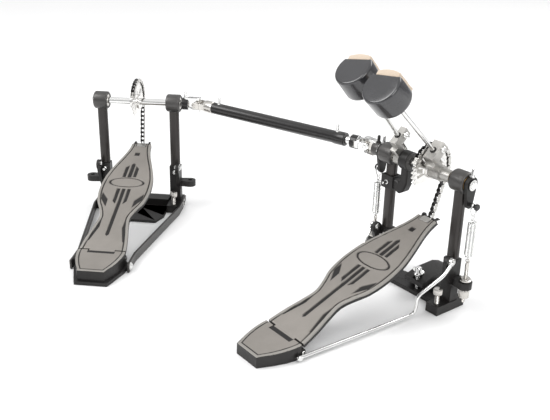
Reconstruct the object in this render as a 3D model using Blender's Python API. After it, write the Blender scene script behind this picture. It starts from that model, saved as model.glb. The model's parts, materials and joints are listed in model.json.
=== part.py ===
"""Twin bass drum pedal: a drum-side pedal and an outrigger pedal joined by a telescopic drive shaft.

Frame: origin on the floor under the drum-side axle, midway between its two posts.
+X runs along that axle to the right, +Y points at the drum, +Z is up.
All sizes below are millimetres; the helpers turn them into metres.
"""
import bpy
import bmesh
from math import acos, asin, atan2, cos, degrees, hypot, pi, radians, sin
from mathutils import Vector

MM = 0.001
MARKER_SIZE = 0.02
SHARP_ANGLE = 35.0             # degrees; edges that turn more are shaded sharp
GAP = 0.3                      # clearance between seated pieces
CHAIN_OPEN_GAP = 1.6           # clearance where the hanging run meets the feeding links
RUNNING_GAP = 0.4              # clearance round a pin that turns

# posts, axle and bearings
AXLE_HEIGHT = 172.0
POST_SPACING = 114.0
POST_HALF_WIDTH = 7.6
POST_HALF_DEPTH = 5.6
AXLE_RADIUS = 5.0
HOUSING_RADIUS = 13.5
HOUSING_LENGTH = 22.0
LEFT_HOUSING_SHIFT = 5.0       # the left drum-side bearing sits outboard of its post
MIDDLE_BEARING_X = -30.5
MIDDLE_BEARING_LENGTH = 13.0
ARM_DROP = 45.0                # bottom of the offset arm's sleeve, below the axle
ARM_SLEEVE_HEIGHT = 18.0
ARM_SLEEVE_HALF_DEPTH = 8.2

# chain drive
CHAIN_PITCH = 6.35
SPROCKET_TEETH = 32
CHAIN_HALF_WIDTH = 3.6
PLATE_RADIUS = 3.0
LINK_WAIST = 0.8               # a link's narrowest half width over its plate radius
DRIVE_X = 7.0                  # mid-plane of the drum-side board, chain and sprocket
WRAP_START = 158.0             # degrees, where the chain is clamped on the player side
FEED_LINKS = 4                 # links that leave the sprocket during a stroke
DISC_HALF_THICKNESS = 1.6
SPROCKET_HUB_RADIUS = 11.0
SPROCKET_DROP = 15.6           # the toothed disc stops this far below the axle
SPROCKET_HUB = (-10.0, 4.1)     # hub ends each side of the disc

# footboard and heel
BOARD_LENGTH = 244.0
BOARD_THICKNESS = 6.0
HINGE_Y = -225.0
HINGE_Z = 18.5                 # top face of the drum-side board at its hinge
TOE_RISE = 86.0
OUTRIGGER_HINGE_Y = -220.0
OUTRIGGER_HINGE_Z = 24.0
OUTRIGGER_TOE_RISE = 74.0
HINGE_HALF_WIDTH = 32.5
TOE_HALF_WIDTH = 15.3
TONGUE_HALF_WIDTH = 18.0
TONGUE_LENGTH = 9.0
TONGUE_THICKNESS = 2.6
HEEL_LENGTH = 56.0
HEEL_TIP_HALF_WIDTH = 18.6
HEEL_TIP_DROP = 4.6
HINGE_PIN_RADIUS = 2.2
HINGE_PIN_DROP = 11.0          # pin centre below the board's top face
KNUCKLE_RADIUS = 4.4
KNUCKLE_HALF_LENGTH = 20.0
TOE_PIN_REACH = 5.0            # toe pin beyond the toe edge
TOE_PIN_DROP = 4.5
TOE_PIN_RADIUS = 2.0
TOE_EAR_RADIUS = 4.6
TOE_EAR_THICKNESS = 2.4
TOE_NOTCH_HALF_WIDTH = 8.0
TOE_NOTCH_LENGTH = 7.0

# feet
FOOT_TOP = 70.0
FOOT_SOLE = 12.0
FOOT_FRONT = -30.0
FOOT_BACK = 20.0
EAR_Y = -15.0
EAR_Z = 70.0
EAR_RADIUS = 8.0
EAR_THICKNESS = 5.0
EAR_BOLT_RADIUS = 2.6
SPRING_OFFSET = 23.0           # spring line outboard of its post
TAB_Z = 42.0
TAB_HALF_THICKNESS = 4.5
TAB_RADIUS = 9.0
ANCHOR_Y = -21.0
ANCHOR_RADIUS = 3.2
ANCHOR_HEAD_RADIUS = 5.4
ANCHOR_HEAD_HEIGHT = 8.0
ANCHOR_TOP = 33.0
BRIDGE_THICKNESS = 6.0
BRIDGE_FRONT = -13.0
BRIDGE_BACK = 22.0
HOOP_LIP_HALF_WIDTH = 24.0
HOOP_LIP_END = 56.0

# hoop clamp
CLAMP_X = 8.0
CLAMP_BOLT_Y = -4.0
CLAMP_BOLT_RADIUS = 3.0
CLAMP_PIVOT_Y = 12.0
CLAMP_PIVOT_Z = 17.0
CLAMP_PIVOT_RADIUS = 2.5
JAW_HALF_WIDTH = 16.0
HOOP_MOUTH = 13.0              # height of the clamp's mouth above the lip
JAW_THICKNESS = 6.0

# springs
CAM_PIN_RADIUS = 2.4
CAM_THROW = 25.0
CAM_THICKNESS = 4.0
CAM_HUB_RADIUS = 10.0
SPRING_RADIUS = 5.6
SPRING_TOP = 127.0
SPRING_LENGTH = 47.0
LINK_WIRE_RADIUS = 1.0
EYE_BOLT_RADIUS = 2.3
EYE_BOLT_BOTTOM = 18.0
SPRING_NUT_RADIUS = 6.6
SPRING_WASHER_RADIUS = 7.4
TAB_PLAY = 1.6                 # lets the eye bolt rock in its tab

# beaters
RIGHT_LEAN = 46.0              # degrees from upright, towards the player
LEFT_LEAN = 41.0
BEATER_OFFSET = 13.5           # rod line to axle centre
ROD_RADIUS = 2.75
HEAD_RADIUS = 23.8
HEAD_LENGTH = 34.5
RIGHT_HEAD_END = 167.3         # flat end of the head, measured along the rod from the axle
LEFT_HEAD_END = 161.0
RIGHT_HEAD_TWIST = 8.0         # degrees that the felt is turned about the rod
LEFT_HEAD_TWIST = 13.0
ROD_DEPTH = 24.0               # rod end inside the head
HEAD_ROUND = 3.5
ROD_TAIL = 3.0
FELT_CHORD = 13.0
FELT_CROWN = 22.3              # middle of the felt, from the rod
FELT_RADIUS = 45.0
FELT_HALF_WIDTH = 16.0
FELT_INSET = 1.2
HOLDER_LOW = 19.0
HOLDER_NECK = (-4.5, 8.0)      # neck between hub and block, square to the rod
HOLDER_HIGH = 31.0
HOLDER_NEAR = 1.0
HOLDER_FAR = 27.0
HOLDER_HUB_RADIUS = 10.0
RIGHT_HOLDER = (11.6, 27.0)
LEFT_HOLDER = (-47.6, -37.6)
SLEEVE_LENGTH = 15.0
SLEEVE_RADIUS = 8.0

# drive shaft
JOINT_REACH = 47.0             # drum-side universal joint, outboard of the left post
SHAFT_ANGLE = 16.2
SHAFT_LENGTH = 299.0
OUTRIGGER_TURN = 46.2
OUTRIGGER_JOINT_REACH = 38.0   # outrigger's universal joint, outboard of its right post
YOKE_HUB_RADIUS = 9.0
YOKE_HUB_START = 14.0
YOKE_HUB_END = 25.0
YOKE_ARM_INNER = 7.2
YOKE_ARM_OUTER = 10.4
YOKE_ARM_HALF_WIDTH = 4.6
YOKE_ARM_REACH = 5.0
CROSS_HALF = 4.8
CROSS_PIN_RADIUS = 2.2
TUBE_RADIUS = 8.6
TUBE_START = 34.0              # open end of the tube, from the drum-side joint
INNER_ROD_RADIUS = 5.0
INNER_ROD_END = 185.0

# outrigger floor parts
PLATE_THICKNESS = 4.0
PLATE_FRONT = -72.0
PLATE_BACK = 30.0
BAR_THICKNESS = 3.0
BAR_HEIGHT = 13.0
BAR_FRONT_Y = -224.0
BAR_BACK_Y = -34.0
BAR_HEEL_X = 38.6
HEEL_PLATE_THICKNESS = 5.0
HEEL_PLATE_MARGIN = 4.0

# radius rods
RADIUS_ROD_RADIUS = 2.3
RADIUS_ROD_Z = 5.0
RADIUS_ROD_KNEE = (-4.0, -54.0)   # x from the post, y
RADIUS_ROD_KNEE_Z = 30.0

PITCH_RADIUS = CHAIN_PITCH / (2.0 * sin(pi / SPROCKET_TEETH))
POST_X = POST_SPACING / 2.0
JOINT_X = -POST_X - JOINT_REACH
OUTRIGGER_JOINT_X = POST_X + OUTRIGGER_JOINT_REACH

STEEL = ((0.62, 0.62, 0.61), 0.22, 1.0)
BRONZE_BLACK = ((0.055, 0.05, 0.047), 0.38, 0.6)
BLACK = ((0.02, 0.02, 0.02), 0.5, 0.2)
CHROME = ((0.75, 0.75, 0.74), 0.12, 1.0)
GREY_METAL = ((0.32, 0.30, 0.28), 0.45, 0.7)
DARK_CHAIN = ((0.05, 0.05, 0.05), 0.35, 0.8)
HEAD_PLASTIC = ((0.03, 0.03, 0.032), 0.25, 0.0)
FELT = ((0.55, 0.46, 0.38), 0.95, 0.0)


# ---------------------------------------------------------------- helpers

def material(name, look):
    colour, roughness, metallic = look
    made = bpy.data.materials.new(name)
    made.use_nodes = True
    shader = made.node_tree.nodes["Principled BSDF"]
    shader.inputs["Base Color"].default_value = (*colour, 1.0)
    shader.inputs["Roughness"].default_value = roughness
    shader.inputs["Metallic"].default_value = metallic
    made.diffuse_color = (*colour, 1.0)
    return made


def marker(name, parent, place, turn, point):
    """Empty at place under its parent; point is where it lies in its frame's coordinates."""
    made = bpy.data.objects.new(name, None)
    bpy.context.collection.objects.link(made)
    made.empty_display_size = MARKER_SIZE
    made.parent = parent
    made.location = Vector(place) * MM
    made.rotation_euler = (0, 0, radians(turn))
    made["point"] = tuple(point)
    return made


def frame_marker(name, place=(0, 0, 0), turn=0.0):
    """Empty of a frame whose pieces are drawn in its own coordinates; turn is about Z."""
    return marker(name, None, place, turn, (0, 0, 0))


def pivot(name, parent, at):
    """Empty on a joint's axis; pieces under it are still drawn in the frame's coordinates."""
    return marker(name, parent, Vector(at) - Vector(parent["point"]), 0.0, at)


def solid(name, vertices, faces, parent, look=None):
    """One mesh object from millimetre points, with its normals made outward."""
    mesh = bpy.data.meshes.new(name)
    point = Vector(parent["point"])
    mesh.from_pydata([(Vector(v) - point) * MM for v in vertices], [], faces)
    shape = bmesh.new()
    shape.from_mesh(mesh)
    bmesh.ops.recalc_face_normals(shape, faces=shape.faces)
    shape.to_mesh(mesh)
    shape.free()
    mesh.shade_smooth()
    mesh.set_sharp_from_angle(angle=radians(SHARP_ANGLE))
    made = bpy.data.objects.new(name, mesh)
    bpy.context.collection.objects.link(made)
    made.parent = parent
    if look:
        mesh.materials.append(material(name, look))
    else:
        made.hide_render = True
        made.display_type = "WIRE"
    return made


def combine(target, tool, operation):
    """Join or cut target with a hidden helper solid."""
    boolean = target.modifiers.new(operation.lower() + "_" + tool.name, "BOOLEAN")
    boolean.operation = operation
    boolean.solver = "EXACT"
    boolean.object = tool
    return target


def join(target, *tools):
    for tool in tools:
        combine(target, tool, "UNION")
    return target


def cut(target, *tools):
    for tool in tools:
        combine(target, tool, "DIFFERENCE")
    return target


def bevel(target, width):
    rounded = target.modifiers.new("bevel", "BEVEL")
    rounded.width = width * MM
    rounded.segments = 1
    rounded.limit_method = "ANGLE"
    rounded.angle_limit = radians(SHARP_ANGLE)


def prism(name, outline, low, high, parent, look=None, along="z"):
    """Extrude a closed outline: (x, y) along z, (x, z) along y or (y, z) along x."""
    place = {"z": lambda a, b, c: (a, b, c), "y": lambda a, b, c: (a, c, b),
             "x": lambda a, b, c: (c, a, b)}[along]
    count = len(outline)
    vertices = [place(a, b, low) for a, b in outline] + [place(a, b, high) for a, b in outline]
    faces = [tuple(range(count)), tuple(range(count, 2 * count))]
    faces += [(i, (i + 1) % count, count + (i + 1) % count, count + i) for i in range(count)]
    return solid(name, vertices, faces, parent, look)


def box(name, low, high, parent, look=None):
    outline = [(low[0], low[1]), (high[0], low[1]), (high[0], high[1]), (low[0], high[1])]
    return prism(name, outline, low[2], high[2], parent, look)


def frame_of(direction):
    """Two unit vectors square to direction."""
    direction = Vector(direction).normalized()
    side = direction.cross(Vector((0, 0, 1)))
    if side.length < 1e-6:
        side = Vector((1, 0, 0))
    side.normalize()
    return side, direction.cross(side).normalized()


def turned(name, profile, parent, look=None, centre=(0, 0, 0), axis=(1, 0, 0), sides=24):
    """Turn a profile of (radius, distance along the axis) points round the axis.

    A first or last radius of zero closes the shape on the axis; otherwise the profile is a
    closed loop and makes a ring."""
    axis = Vector(axis).normalized()
    u, v = frame_of(axis)
    centre = Vector(centre)
    ring = profile[0][0] > 0
    vertices, rows = [], []
    for radius, along in profile:
        base = centre + axis * along
        if radius == 0:
            rows.append([len(vertices)])
            vertices.append(base)
            continue
        rows.append(list(range(len(vertices), len(vertices) + sides)))
        for i in range(sides):
            angle = 2 * pi * i / sides
            vertices.append(base + (u * cos(angle) + v * sin(angle)) * radius)
    pairs = list(zip(rows, rows[1:] + rows[:1])) if ring else list(zip(rows, rows[1:]))
    faces = []
    for low, high in pairs:
        for i in range(sides):
            j = (i + 1) % sides
            quad = [low[i % len(low)], low[j % len(low)], high[j % len(high)], high[i % len(high)]]
            faces.append(tuple(dict.fromkeys(quad)))
    return solid(name, vertices, faces, parent, look)


def rod(name, start, end, radius, parent, look=None, sides=20):
    start, end = Vector(start), Vector(end)
    length = (end - start).length
    profile = [(0, 0), (radius, 0), (radius, length), (0, length)]
    return turned(name, profile, parent, look, start, end - start, sides)


def ring(name, inner, outer, low, high, parent, look=None, centre=(0, 0, 0), axis=(1, 0, 0), sides=28):
    profile = [(inner, low), (outer, low), (outer, high), (inner, high)]
    return turned(name, profile, parent, look, centre, axis, sides)


def wire(name, path, radius, parent, look=None, sides=10, closed=False):
    """Sweep a circle along a path of points, mitred at each bend."""
    points = [Vector(p) for p in path]
    count = len(points)
    vertices = []
    normal = None
    for i, point in enumerate(points):
        before = points[i - 1] if i or closed else point - (points[1] - point)
        after = points[(i + 1) % count] if i < count - 1 or closed else point + (point - points[i - 1])
        first, second = (point - before).normalized(), (after - point).normalized()
        tangent = (first + second).normalized()
        if normal is None:
            normal = frame_of(tangent)[0]
        normal = (normal - tangent * normal.dot(tangent)).normalized()
        across = tangent.cross(normal)
        bend = (second - first)
        stretch = 1.0 / max(0.5, tangent.dot(first))
        inward = bend.normalized() if bend.length > 1e-6 else None
        for k in range(sides):
            angle = 2 * pi * k / sides
            offset = (normal * cos(angle) + across * sin(angle)) * radius
            if inward:
                offset += inward * offset.dot(inward) * (stretch - 1.0)
            vertices.append(point + offset)
    faces = []
    for i in range(count if closed else count - 1):
        row, following = i * sides, ((i + 1) % count) * sides
        for k in range(sides):
            n = (k + 1) % sides
            faces.append((row + k, row + n, following + n, following + k))
    if not closed:
        faces += [tuple(range(sides)), tuple(range((count - 1) * sides, count * sides))]
    return solid(name, vertices, faces, parent, look)


def arc(centre, radius, start, end, steps):
    """Points on an arc; angles in degrees."""
    return [(centre[0] + radius * cos(radians(start + (end - start) * i / steps)),
             centre[1] + radius * sin(radians(start + (end - start) * i / steps)))
            for i in range(steps + 1)]


def smooth_curve(stations, steps):
    """Catmull-Rom curve through (distance, value) stations, steps points a span."""
    points = []
    padded = [stations[0]] + list(stations) + [stations[-1]]
    for p0, p1, p2, p3 in zip(padded, padded[1:], padded[2:], padded[3:]):
        for i in range(steps):
            t = i / steps
            points.append(tuple(
                0.5 * (2 * b + (c - a) * t + (2 * a - 5 * b + 4 * c - d) * t ** 2
                       + (3 * b - a - 3 * c + d) * t ** 3)
                for a, b, c, d in zip(p0, p1, p2, p3)))
    points.append(stations[-1])
    return points


# ---------------------------------------------------------------- chain and sprocket

def chain_route(toe_pin):
    """Angle of the point where the chain leaves the pitch circle for the toe pin.

    Seen along +X with y to the right and z up, the chain hangs on the drum side."""
    y, z = toe_pin[0], toe_pin[1] - AXLE_HEIGHT
    distance = hypot(y, z)
    return degrees(atan2(z, y) + acos(PITCH_RADIUS / distance))


def on_pitch(angle):
    return (PITCH_RADIUS * cos(radians(angle)), PITCH_RADIUS * sin(radians(angle)))


def cap(centre, heading, radius, start, end, steps=5):
    """Arc round a chain pin; start and end are degrees from the heading."""
    base = degrees(atan2(heading[1], heading[0]))
    return arc(centre, radius, base + start, base + end, steps)


def chain_strip(name, centres, headings, x, parent, hollow=None):
    """A chain length as one solid, from pin to pin with a waist point between.

    Centres hold each pin and each mid-link point in turn. Its end is round about the last
    pin; its start is round too, or dished with radius hollow round its neighbour's pin."""
    right, left = [], []
    for i, ((y, z), (dy, dz)) in enumerate(zip(centres, headings)):
        half = PLATE_RADIUS if i % 2 == 0 else PLATE_RADIUS * LINK_WAIST
        right.append((y + dz * half, z - dy * half))
        left.append((y - dz * half, z + dy * half))
    first = 1
    if hollow:
        edge = asin(LINK_WAIST * PLATE_RADIUS / hollow)
        start = cap(centres[0], headings[0], hollow, degrees(edge), -degrees(edge))
        first = 1 if hollow * cos(edge) < CHAIN_PITCH / 2 else 2
    else:
        start = cap(centres[0], headings[0], PLATE_RADIUS, 90, 270)
    end = cap(centres[-1], headings[-1], PLATE_RADIUS, -90, 90)
    outline = start + right[first:-1] + end + left[first:-1][::-1]
    return prism(name, outline, x - CHAIN_HALF_WIDTH, x + CHAIN_HALF_WIDTH, parent, DARK_CHAIN, "x")


def curved_chain(name, start, links, x, parent, hollow=None):
    """Links lying on the sprocket, running clockwise from the start angle."""
    step = 180.0 / SPROCKET_TEETH
    angles = [start - step * i for i in range(2 * links + 1)]
    centres = [(y, AXLE_HEIGHT + z) for y, z in map(on_pitch, angles)]
    headings = [(sin(radians(a)), -cos(radians(a))) for a in angles]
    return chain_strip(name, centres, headings, x, parent, hollow)


def straight_chain(name, start, end, x, parent, hollow):
    """Links hanging straight from start to end, both (y, z)."""
    length = hypot(end[0] - start[0], end[1] - start[1])
    links = round(length / CHAIN_PITCH)
    heading = ((end[0] - start[0]) / length, (end[1] - start[1]) / length)
    centres = [(start[0] + (end[0] - start[0]) * i / (2 * links),
                start[1] + (end[1] - start[1]) * i / (2 * links)) for i in range(2 * links + 1)]
    return chain_strip(name, centres, [heading] * len(centres), x, parent, hollow)


def sprocket(name, x, parent):
    """Disc that carries the chain, with its clamping hub."""
    disc = PITCH_RADIUS - PLATE_RADIUS - GAP
    bore = AXLE_RADIUS + GAP
    web, (left, right) = DISC_HALF_THICKNESS, SPROCKET_HUB
    profile = [(bore, left), (SPROCKET_HUB_RADIUS, left), (SPROCKET_HUB_RADIUS, -web), (disc, -web),
               (disc, web), (SPROCKET_HUB_RADIUS, web), (SPROCKET_HUB_RADIUS, right), (bore, right)]
    wheel = turned(name, profile, parent, CHROME, (x, 0, AXLE_HEIGHT), sides=SPROCKET_TEETH)
    return cut(wheel, box(name + "_lower_part", (x - 20, -40, AXLE_HEIGHT - 50),
                          (x + 20, 40, AXLE_HEIGHT - SPROCKET_DROP), parent))


def chain_drive(prefix, x, toe_pin, axle, board_pivot):
    """Sprocket, wrapped chain, the links that feed off it and the hanging run."""
    leave = chain_route(toe_pin)
    feed_start = leave + FEED_LINKS * 360.0 / SPROCKET_TEETH
    wrapped = int((WRAP_START - feed_start) * SPROCKET_TEETH / 360.0)
    wrap_start = feed_start + wrapped * 360.0 / SPROCKET_TEETH
    sprocket(prefix + "sprocket", x, axle)
    curved_chain(prefix + "chain_wrap", wrap_start, wrapped, x, axle)
    y, z = on_pitch(feed_start)
    feed_pivot = pivot(prefix + "chain_feed_pivot", axle, (x, y, AXLE_HEIGHT + z))
    curved_chain(prefix + "chain_feed", feed_start, FEED_LINKS, x, feed_pivot, PLATE_RADIUS + RUNNING_GAP)
    y, z = on_pitch(leave)
    run_pivot = pivot(prefix + "chain_run_pivot", board_pivot, (x, *toe_pin))
    run = straight_chain(prefix + "chain_run", (y, AXLE_HEIGHT + z), toe_pin, x, run_pivot,
                         PLATE_RADIUS + CHAIN_OPEN_GAP)
    hole = rod(prefix + "chain_run_hole", (x - 9, *toe_pin), (x + 9, *toe_pin),
               TOE_PIN_RADIUS + RUNNING_GAP, run_pivot, sides=16)
    cut(run, hole)


# ---------------------------------------------------------------- footboard and heel

class Slope:
    """Plane of a footboard: s runs from the hinge to the toe, n out of the top face."""

    def __init__(self, hinge_y, hinge_z, rise):
        run = (BOARD_LENGTH ** 2 - rise ** 2) ** 0.5
        self.origin = (hinge_y, hinge_z)
        self.along = (run / BOARD_LENGTH, rise / BOARD_LENGTH)

    def at(self, s, n):
        (y, z), (dy, dz) = self.origin, self.along
        return (y + dy * s - dz * n, z + dz * s + dy * n)

    def toe_pin(self):
        return self.at(BOARD_LENGTH + TOE_PIN_REACH, -TOE_PIN_DROP)

    def hinge_pin(self):
        return (self.origin[0], self.origin[1] - HINGE_PIN_DROP)


def board_outline():
    """Hourglass outline as (x, s) points, from the hinge up one side and down the other."""
    stations = [(0.0, HINGE_HALF_WIDTH), (25.0, 29.5), (50.0, 24.6), (68.0, 22.4), (84.0, 27.0),
                (103.0, 35.0), (126.0, 38.4), (146.0, 38.2), (166.0, 35.4), (190.0, 28.6),
                (212.0, 21.4), (230.0, 16.8), (BOARD_LENGTH, TOE_HALF_WIDTH)]
    side = smooth_curve(stations, 2)
    return [(half, s) for s, half in side] + [(-half, s) for s, half in side[::-1]]


def footboard(name, x, slope, parent):
    """Plate with a hinge knuckle, a tongue over the heel, a toe notch and two pin ears."""
    outline = board_outline()
    count = len(outline)
    points = []
    for n in (0.0, -BOARD_THICKNESS):
        points += [(x + a, *slope.at(s, n)) for a, s in outline]
    faces = [tuple(range(count)), tuple(range(count, 2 * count))]
    faces += [(i, (i + 1) % count, count + (i + 1) % count, count + i) for i in range(count)]
    board = solid(name, points, faces, parent, GREY_METAL)
    y, z = slope.origin
    tongue = box(name + "_tongue", (x - TONGUE_HALF_WIDTH, y - TONGUE_LENGTH, z - TONGUE_THICKNESS),
                 (x + TONGUE_HALF_WIDTH, y + 5, z - 0.1), parent)
    notch_start = BOARD_LENGTH - TOE_NOTCH_LENGTH
    corners = [slope.at(notch_start, 4), slope.at(BOARD_LENGTH + 12, 4),
               slope.at(BOARD_LENGTH + 12, -16), slope.at(notch_start, -16)]
    notch = prism(name + "_notch", corners, x - TOE_NOTCH_HALF_WIDTH, x + TOE_NOTCH_HALF_WIDTH,
                  parent, along="x")
    ears = [toe_ear(name, side, x, slope, parent) for side in (-1, 1)]
    pin_y, pin_z = slope.hinge_pin()
    web = [(pin_y - 3.0, pin_z), (pin_y + 3.0, pin_z), slope.at(8.0, -3.0), slope.at(2.0, -2.0)]
    webs = prism(name + "_web", web, x - KNUCKLE_HALF_LENGTH + 0.6, x + KNUCKLE_HALF_LENGTH - 0.6, parent,
                 along="x")
    knuckle = rod(name + "_knuckle", (x - KNUCKLE_HALF_LENGTH, pin_y, pin_z),
                  (x + KNUCKLE_HALF_LENGTH, pin_y, pin_z), KNUCKLE_RADIUS, parent)
    bore = rod(name + "_bore", (x - 40, pin_y, pin_z), (x + 40, pin_y, pin_z),
               HINGE_PIN_RADIUS + RUNNING_GAP, parent)
    toe = slope.toe_pin()
    reach = TOE_NOTCH_HALF_WIDTH + TOE_EAR_THICKNESS + 2.8
    toe_pin = rod(name + "_toe_pin", (x - reach, *toe), (x + reach, *toe), TOE_PIN_RADIUS, parent)
    join(board, tongue, webs, knuckle, *ears)
    cut(board, notch)
    join(board, toe_pin)
    return cut(board, bore)


def toe_ear(name, side, x, slope, parent):
    """Side plate that carries the toe pin."""
    y, z = slope.toe_pin()
    heading = degrees(atan2(slope.along[1], slope.along[0]))
    outline = arc((y, z), TOE_EAR_RADIUS, heading + 95, heading - 95, 8)
    outline += [slope.at(BOARD_LENGTH - 16, -BOARD_THICKNESS - 1), slope.at(BOARD_LENGTH - 16, -1)]
    inner = x + side * (TOE_NOTCH_HALF_WIDTH + 2.0)
    outer = inner + side * TOE_EAR_THICKNESS
    return prism(f"{name}_ear_{side}", outline, min(inner, outer), max(inner, outer), parent, along="x")


def heel_outline(margin=0.0):
    """Heel block seen from above as (x, distance behind the hinge) points."""
    side = [(HINGE_HALF_WIDTH + 0.5, -4.0), (HINGE_HALF_WIDTH + 0.8, 8.0), (HINGE_HALF_WIDTH - 1.5, 22.0),
            (HINGE_HALF_WIDTH - 6.5, 38.0), (HEEL_TIP_HALF_WIDTH, HEEL_LENGTH)]
    side = [(a + margin, b + (margin if b > 40 else 0.0)) for a, b in side]
    return side + [(-a, b) for a, b in side[::-1]]


def heel_block(name, x, slope, base, parent, plate=None):
    """Sloping heel block with a seat for the tongue and two lugs round the hinge pin."""
    y, top = slope.origin
    pin_y, pin_z = slope.hinge_pin()
    outline = [(a, b) for a, b in heel_outline() if b > 0]
    outline = [(HINGE_HALF_WIDTH + 0.8, 2.5)] + outline + [(-HINGE_HALF_WIDTH - 0.8, 2.5)]
    count = len(outline)
    upper = [(x + a, y - b, top - HEEL_TIP_DROP * b / HEEL_LENGTH) for a, b in outline]
    lower = [(x + a, y - b, base) for a, b in outline]
    faces = [tuple(range(count)), tuple(range(count, 2 * count))]
    faces += [(i, (i + 1) % count, count + (i + 1) % count, count + i) for i in range(count)]
    heel = solid(name, upper + lower, faces, parent, BLACK)
    seat = box(name + "_seat", (x - TONGUE_HALF_WIDTH - 0.6, y - TONGUE_LENGTH - 0.6,
                                top - TONGUE_THICKNESS - 1.4),
               (x + TONGUE_HALF_WIDTH + 0.6, y + 5, top + 5), parent)
    well = rod(name + "_well", (x - KNUCKLE_HALF_LENGTH - 0.4, pin_y, pin_z),
               (x + KNUCKLE_HALF_LENGTH + 0.4, pin_y, pin_z), KNUCKLE_RADIUS + 0.7, parent)
    inner, outer = KNUCKLE_HALF_LENGTH + 1.0, HINGE_HALF_WIDTH
    if plate:
        join(heel, plate)
    cut(heel, seat, well)
    for side in (-1, 1):
        low, high = sorted((x + side * inner, x + side * outer))
        lug = rod(f"{name}_lug_{side}", (low, pin_y, pin_z), (high, pin_y, pin_z), KNUCKLE_RADIUS, parent)
        foot = box(f"{name}_lug_foot_{side}", (low, pin_y - 5, base), (high, pin_y + 3.5, pin_z), parent)
        join(heel, foot, lug)
    bore = rod(name + "_bore", (x - 40, pin_y, pin_z), (x + 40, pin_y, pin_z),
               HINGE_PIN_RADIUS + RUNNING_GAP, parent)
    return cut(heel, bore)


def hinge_pin(name, x, slope, parent):
    y, z = slope.hinge_pin()
    reach = HINGE_HALF_WIDTH + 1.5
    return rod(name, (x - reach, y, z), (x + reach, y, z), HINGE_PIN_RADIUS, parent, STEEL)


# ---------------------------------------------------------------- posts, bearings and feet

def bearing_collar(name, x, parent):
    """Turned bearing collar with rounded rims."""
    half = HOUSING_LENGTH / 2
    bore, rim = AXLE_RADIUS + GAP, HOUSING_RADIUS - 2.5
    profile = [(bore, -half), (rim, -half), (HOUSING_RADIUS, -half + 2.5), (HOUSING_RADIUS, half - 2.5),
               (rim, half), (bore, half)]
    return turned(name, profile, parent, None, (x, 0, AXLE_HEIGHT), sides=24)


def post(name, x, collar_x, parent):
    """Upright with a rounded rectangular section and a bearing collar on top."""
    outline = []
    for i in range(16):
        c, s = cos(2 * pi * i / 16), sin(2 * pi * i / 16)
        outline.append((x + POST_HALF_WIDTH * abs(c) ** 0.75 * (1 if c > 0 else -1),
                        POST_HALF_DEPTH * abs(s) ** 0.75 * (1 if s > 0 else -1)))
    top = AXLE_HEIGHT - HOLDER_HUB_RADIUS - 1.2
    upright = prism(name, outline, FOOT_TOP + GAP, top, parent, BRONZE_BLACK)
    return join(upright, bearing_collar(name + "_collar", collar_x, parent))


def foot(name, side, parent, look=BRONZE_BLACK):
    """Cast foot: sole, tower under the post, spring tab and radius rod ear."""
    def span(a, b):
        return sorted((side * (POST_X + a), side * (POST_X + b)))
    low, high = span(-9.5, 9.5)
    sole = [(low, FOOT_FRONT), (high, FOOT_FRONT), (high, FOOT_BACK), (low, FOOT_BACK)]
    made = prism(name, sole, 0.0, FOOT_SOLE, parent, look)
    low, high = span(-POST_HALF_WIDTH - 0.8, POST_HALF_WIDTH + 0.8)
    tower = box(name + "_tower", (low, -7, 4), (high, 7, FOOT_TOP), parent)
    spring_x = side * (POST_X + SPRING_OFFSET)
    tab_outline = arc((spring_x, 0), TAB_RADIUS, -90, 90, 8) if side > 0 else \
        arc((spring_x, 0), TAB_RADIUS, 90, 270, 8)
    tab_outline += [(side * POST_X, side * 6.0), (side * POST_X, -side * 6.0)]
    tab = prism(name + "_tab", tab_outline, TAB_Z - TAB_HALF_THICKNESS, TAB_Z + TAB_HALF_THICKNESS, parent)
    low, high = span(4.0, 4.0 + EAR_THICKNESS)
    ear_outline = arc((EAR_Y, EAR_Z), EAR_RADIUS, -10, 235, 10) + [(EAR_Y, EAR_Z - 22), (-3, EAR_Z - 40),
                                                                (0, EAR_Z - 4)]
    ear = prism(name + "_ear", ear_outline, low, high, parent, along="x")
    join(made, tower, tab, ear)
    hole = rod(name + "_tab_hole", (spring_x, 0, TAB_Z - 9), (spring_x, 0, TAB_Z + 9),
               EYE_BOLT_RADIUS + 0.9, parent)
    anchor = rod(name + "_anchor_hole", (side * POST_X, ANCHOR_Y, -2), (side * POST_X, ANCHOR_Y, 20),
                 ANCHOR_RADIUS + RUNNING_GAP, parent)
    cut(made, hole, anchor)
    return made


def anchor_screw(name, side, parent):
    """Floor spike screw with a knurled head."""
    x, shoulder = side * POST_X, ANCHOR_TOP - ANCHOR_HEAD_HEIGHT
    profile = [(0, 1.0), (ANCHOR_RADIUS, 5.0), (ANCHOR_RADIUS, shoulder), (ANCHOR_HEAD_RADIUS, shoulder),
               (ANCHOR_HEAD_RADIUS, ANCHOR_TOP - 1), (ANCHOR_HEAD_RADIUS - 1, ANCHOR_TOP), (0, ANCHOR_TOP)]
    return turned(name, profile, parent, STEEL, (x, ANCHOR_Y, 0), (0, 0, 1), 16)


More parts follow.
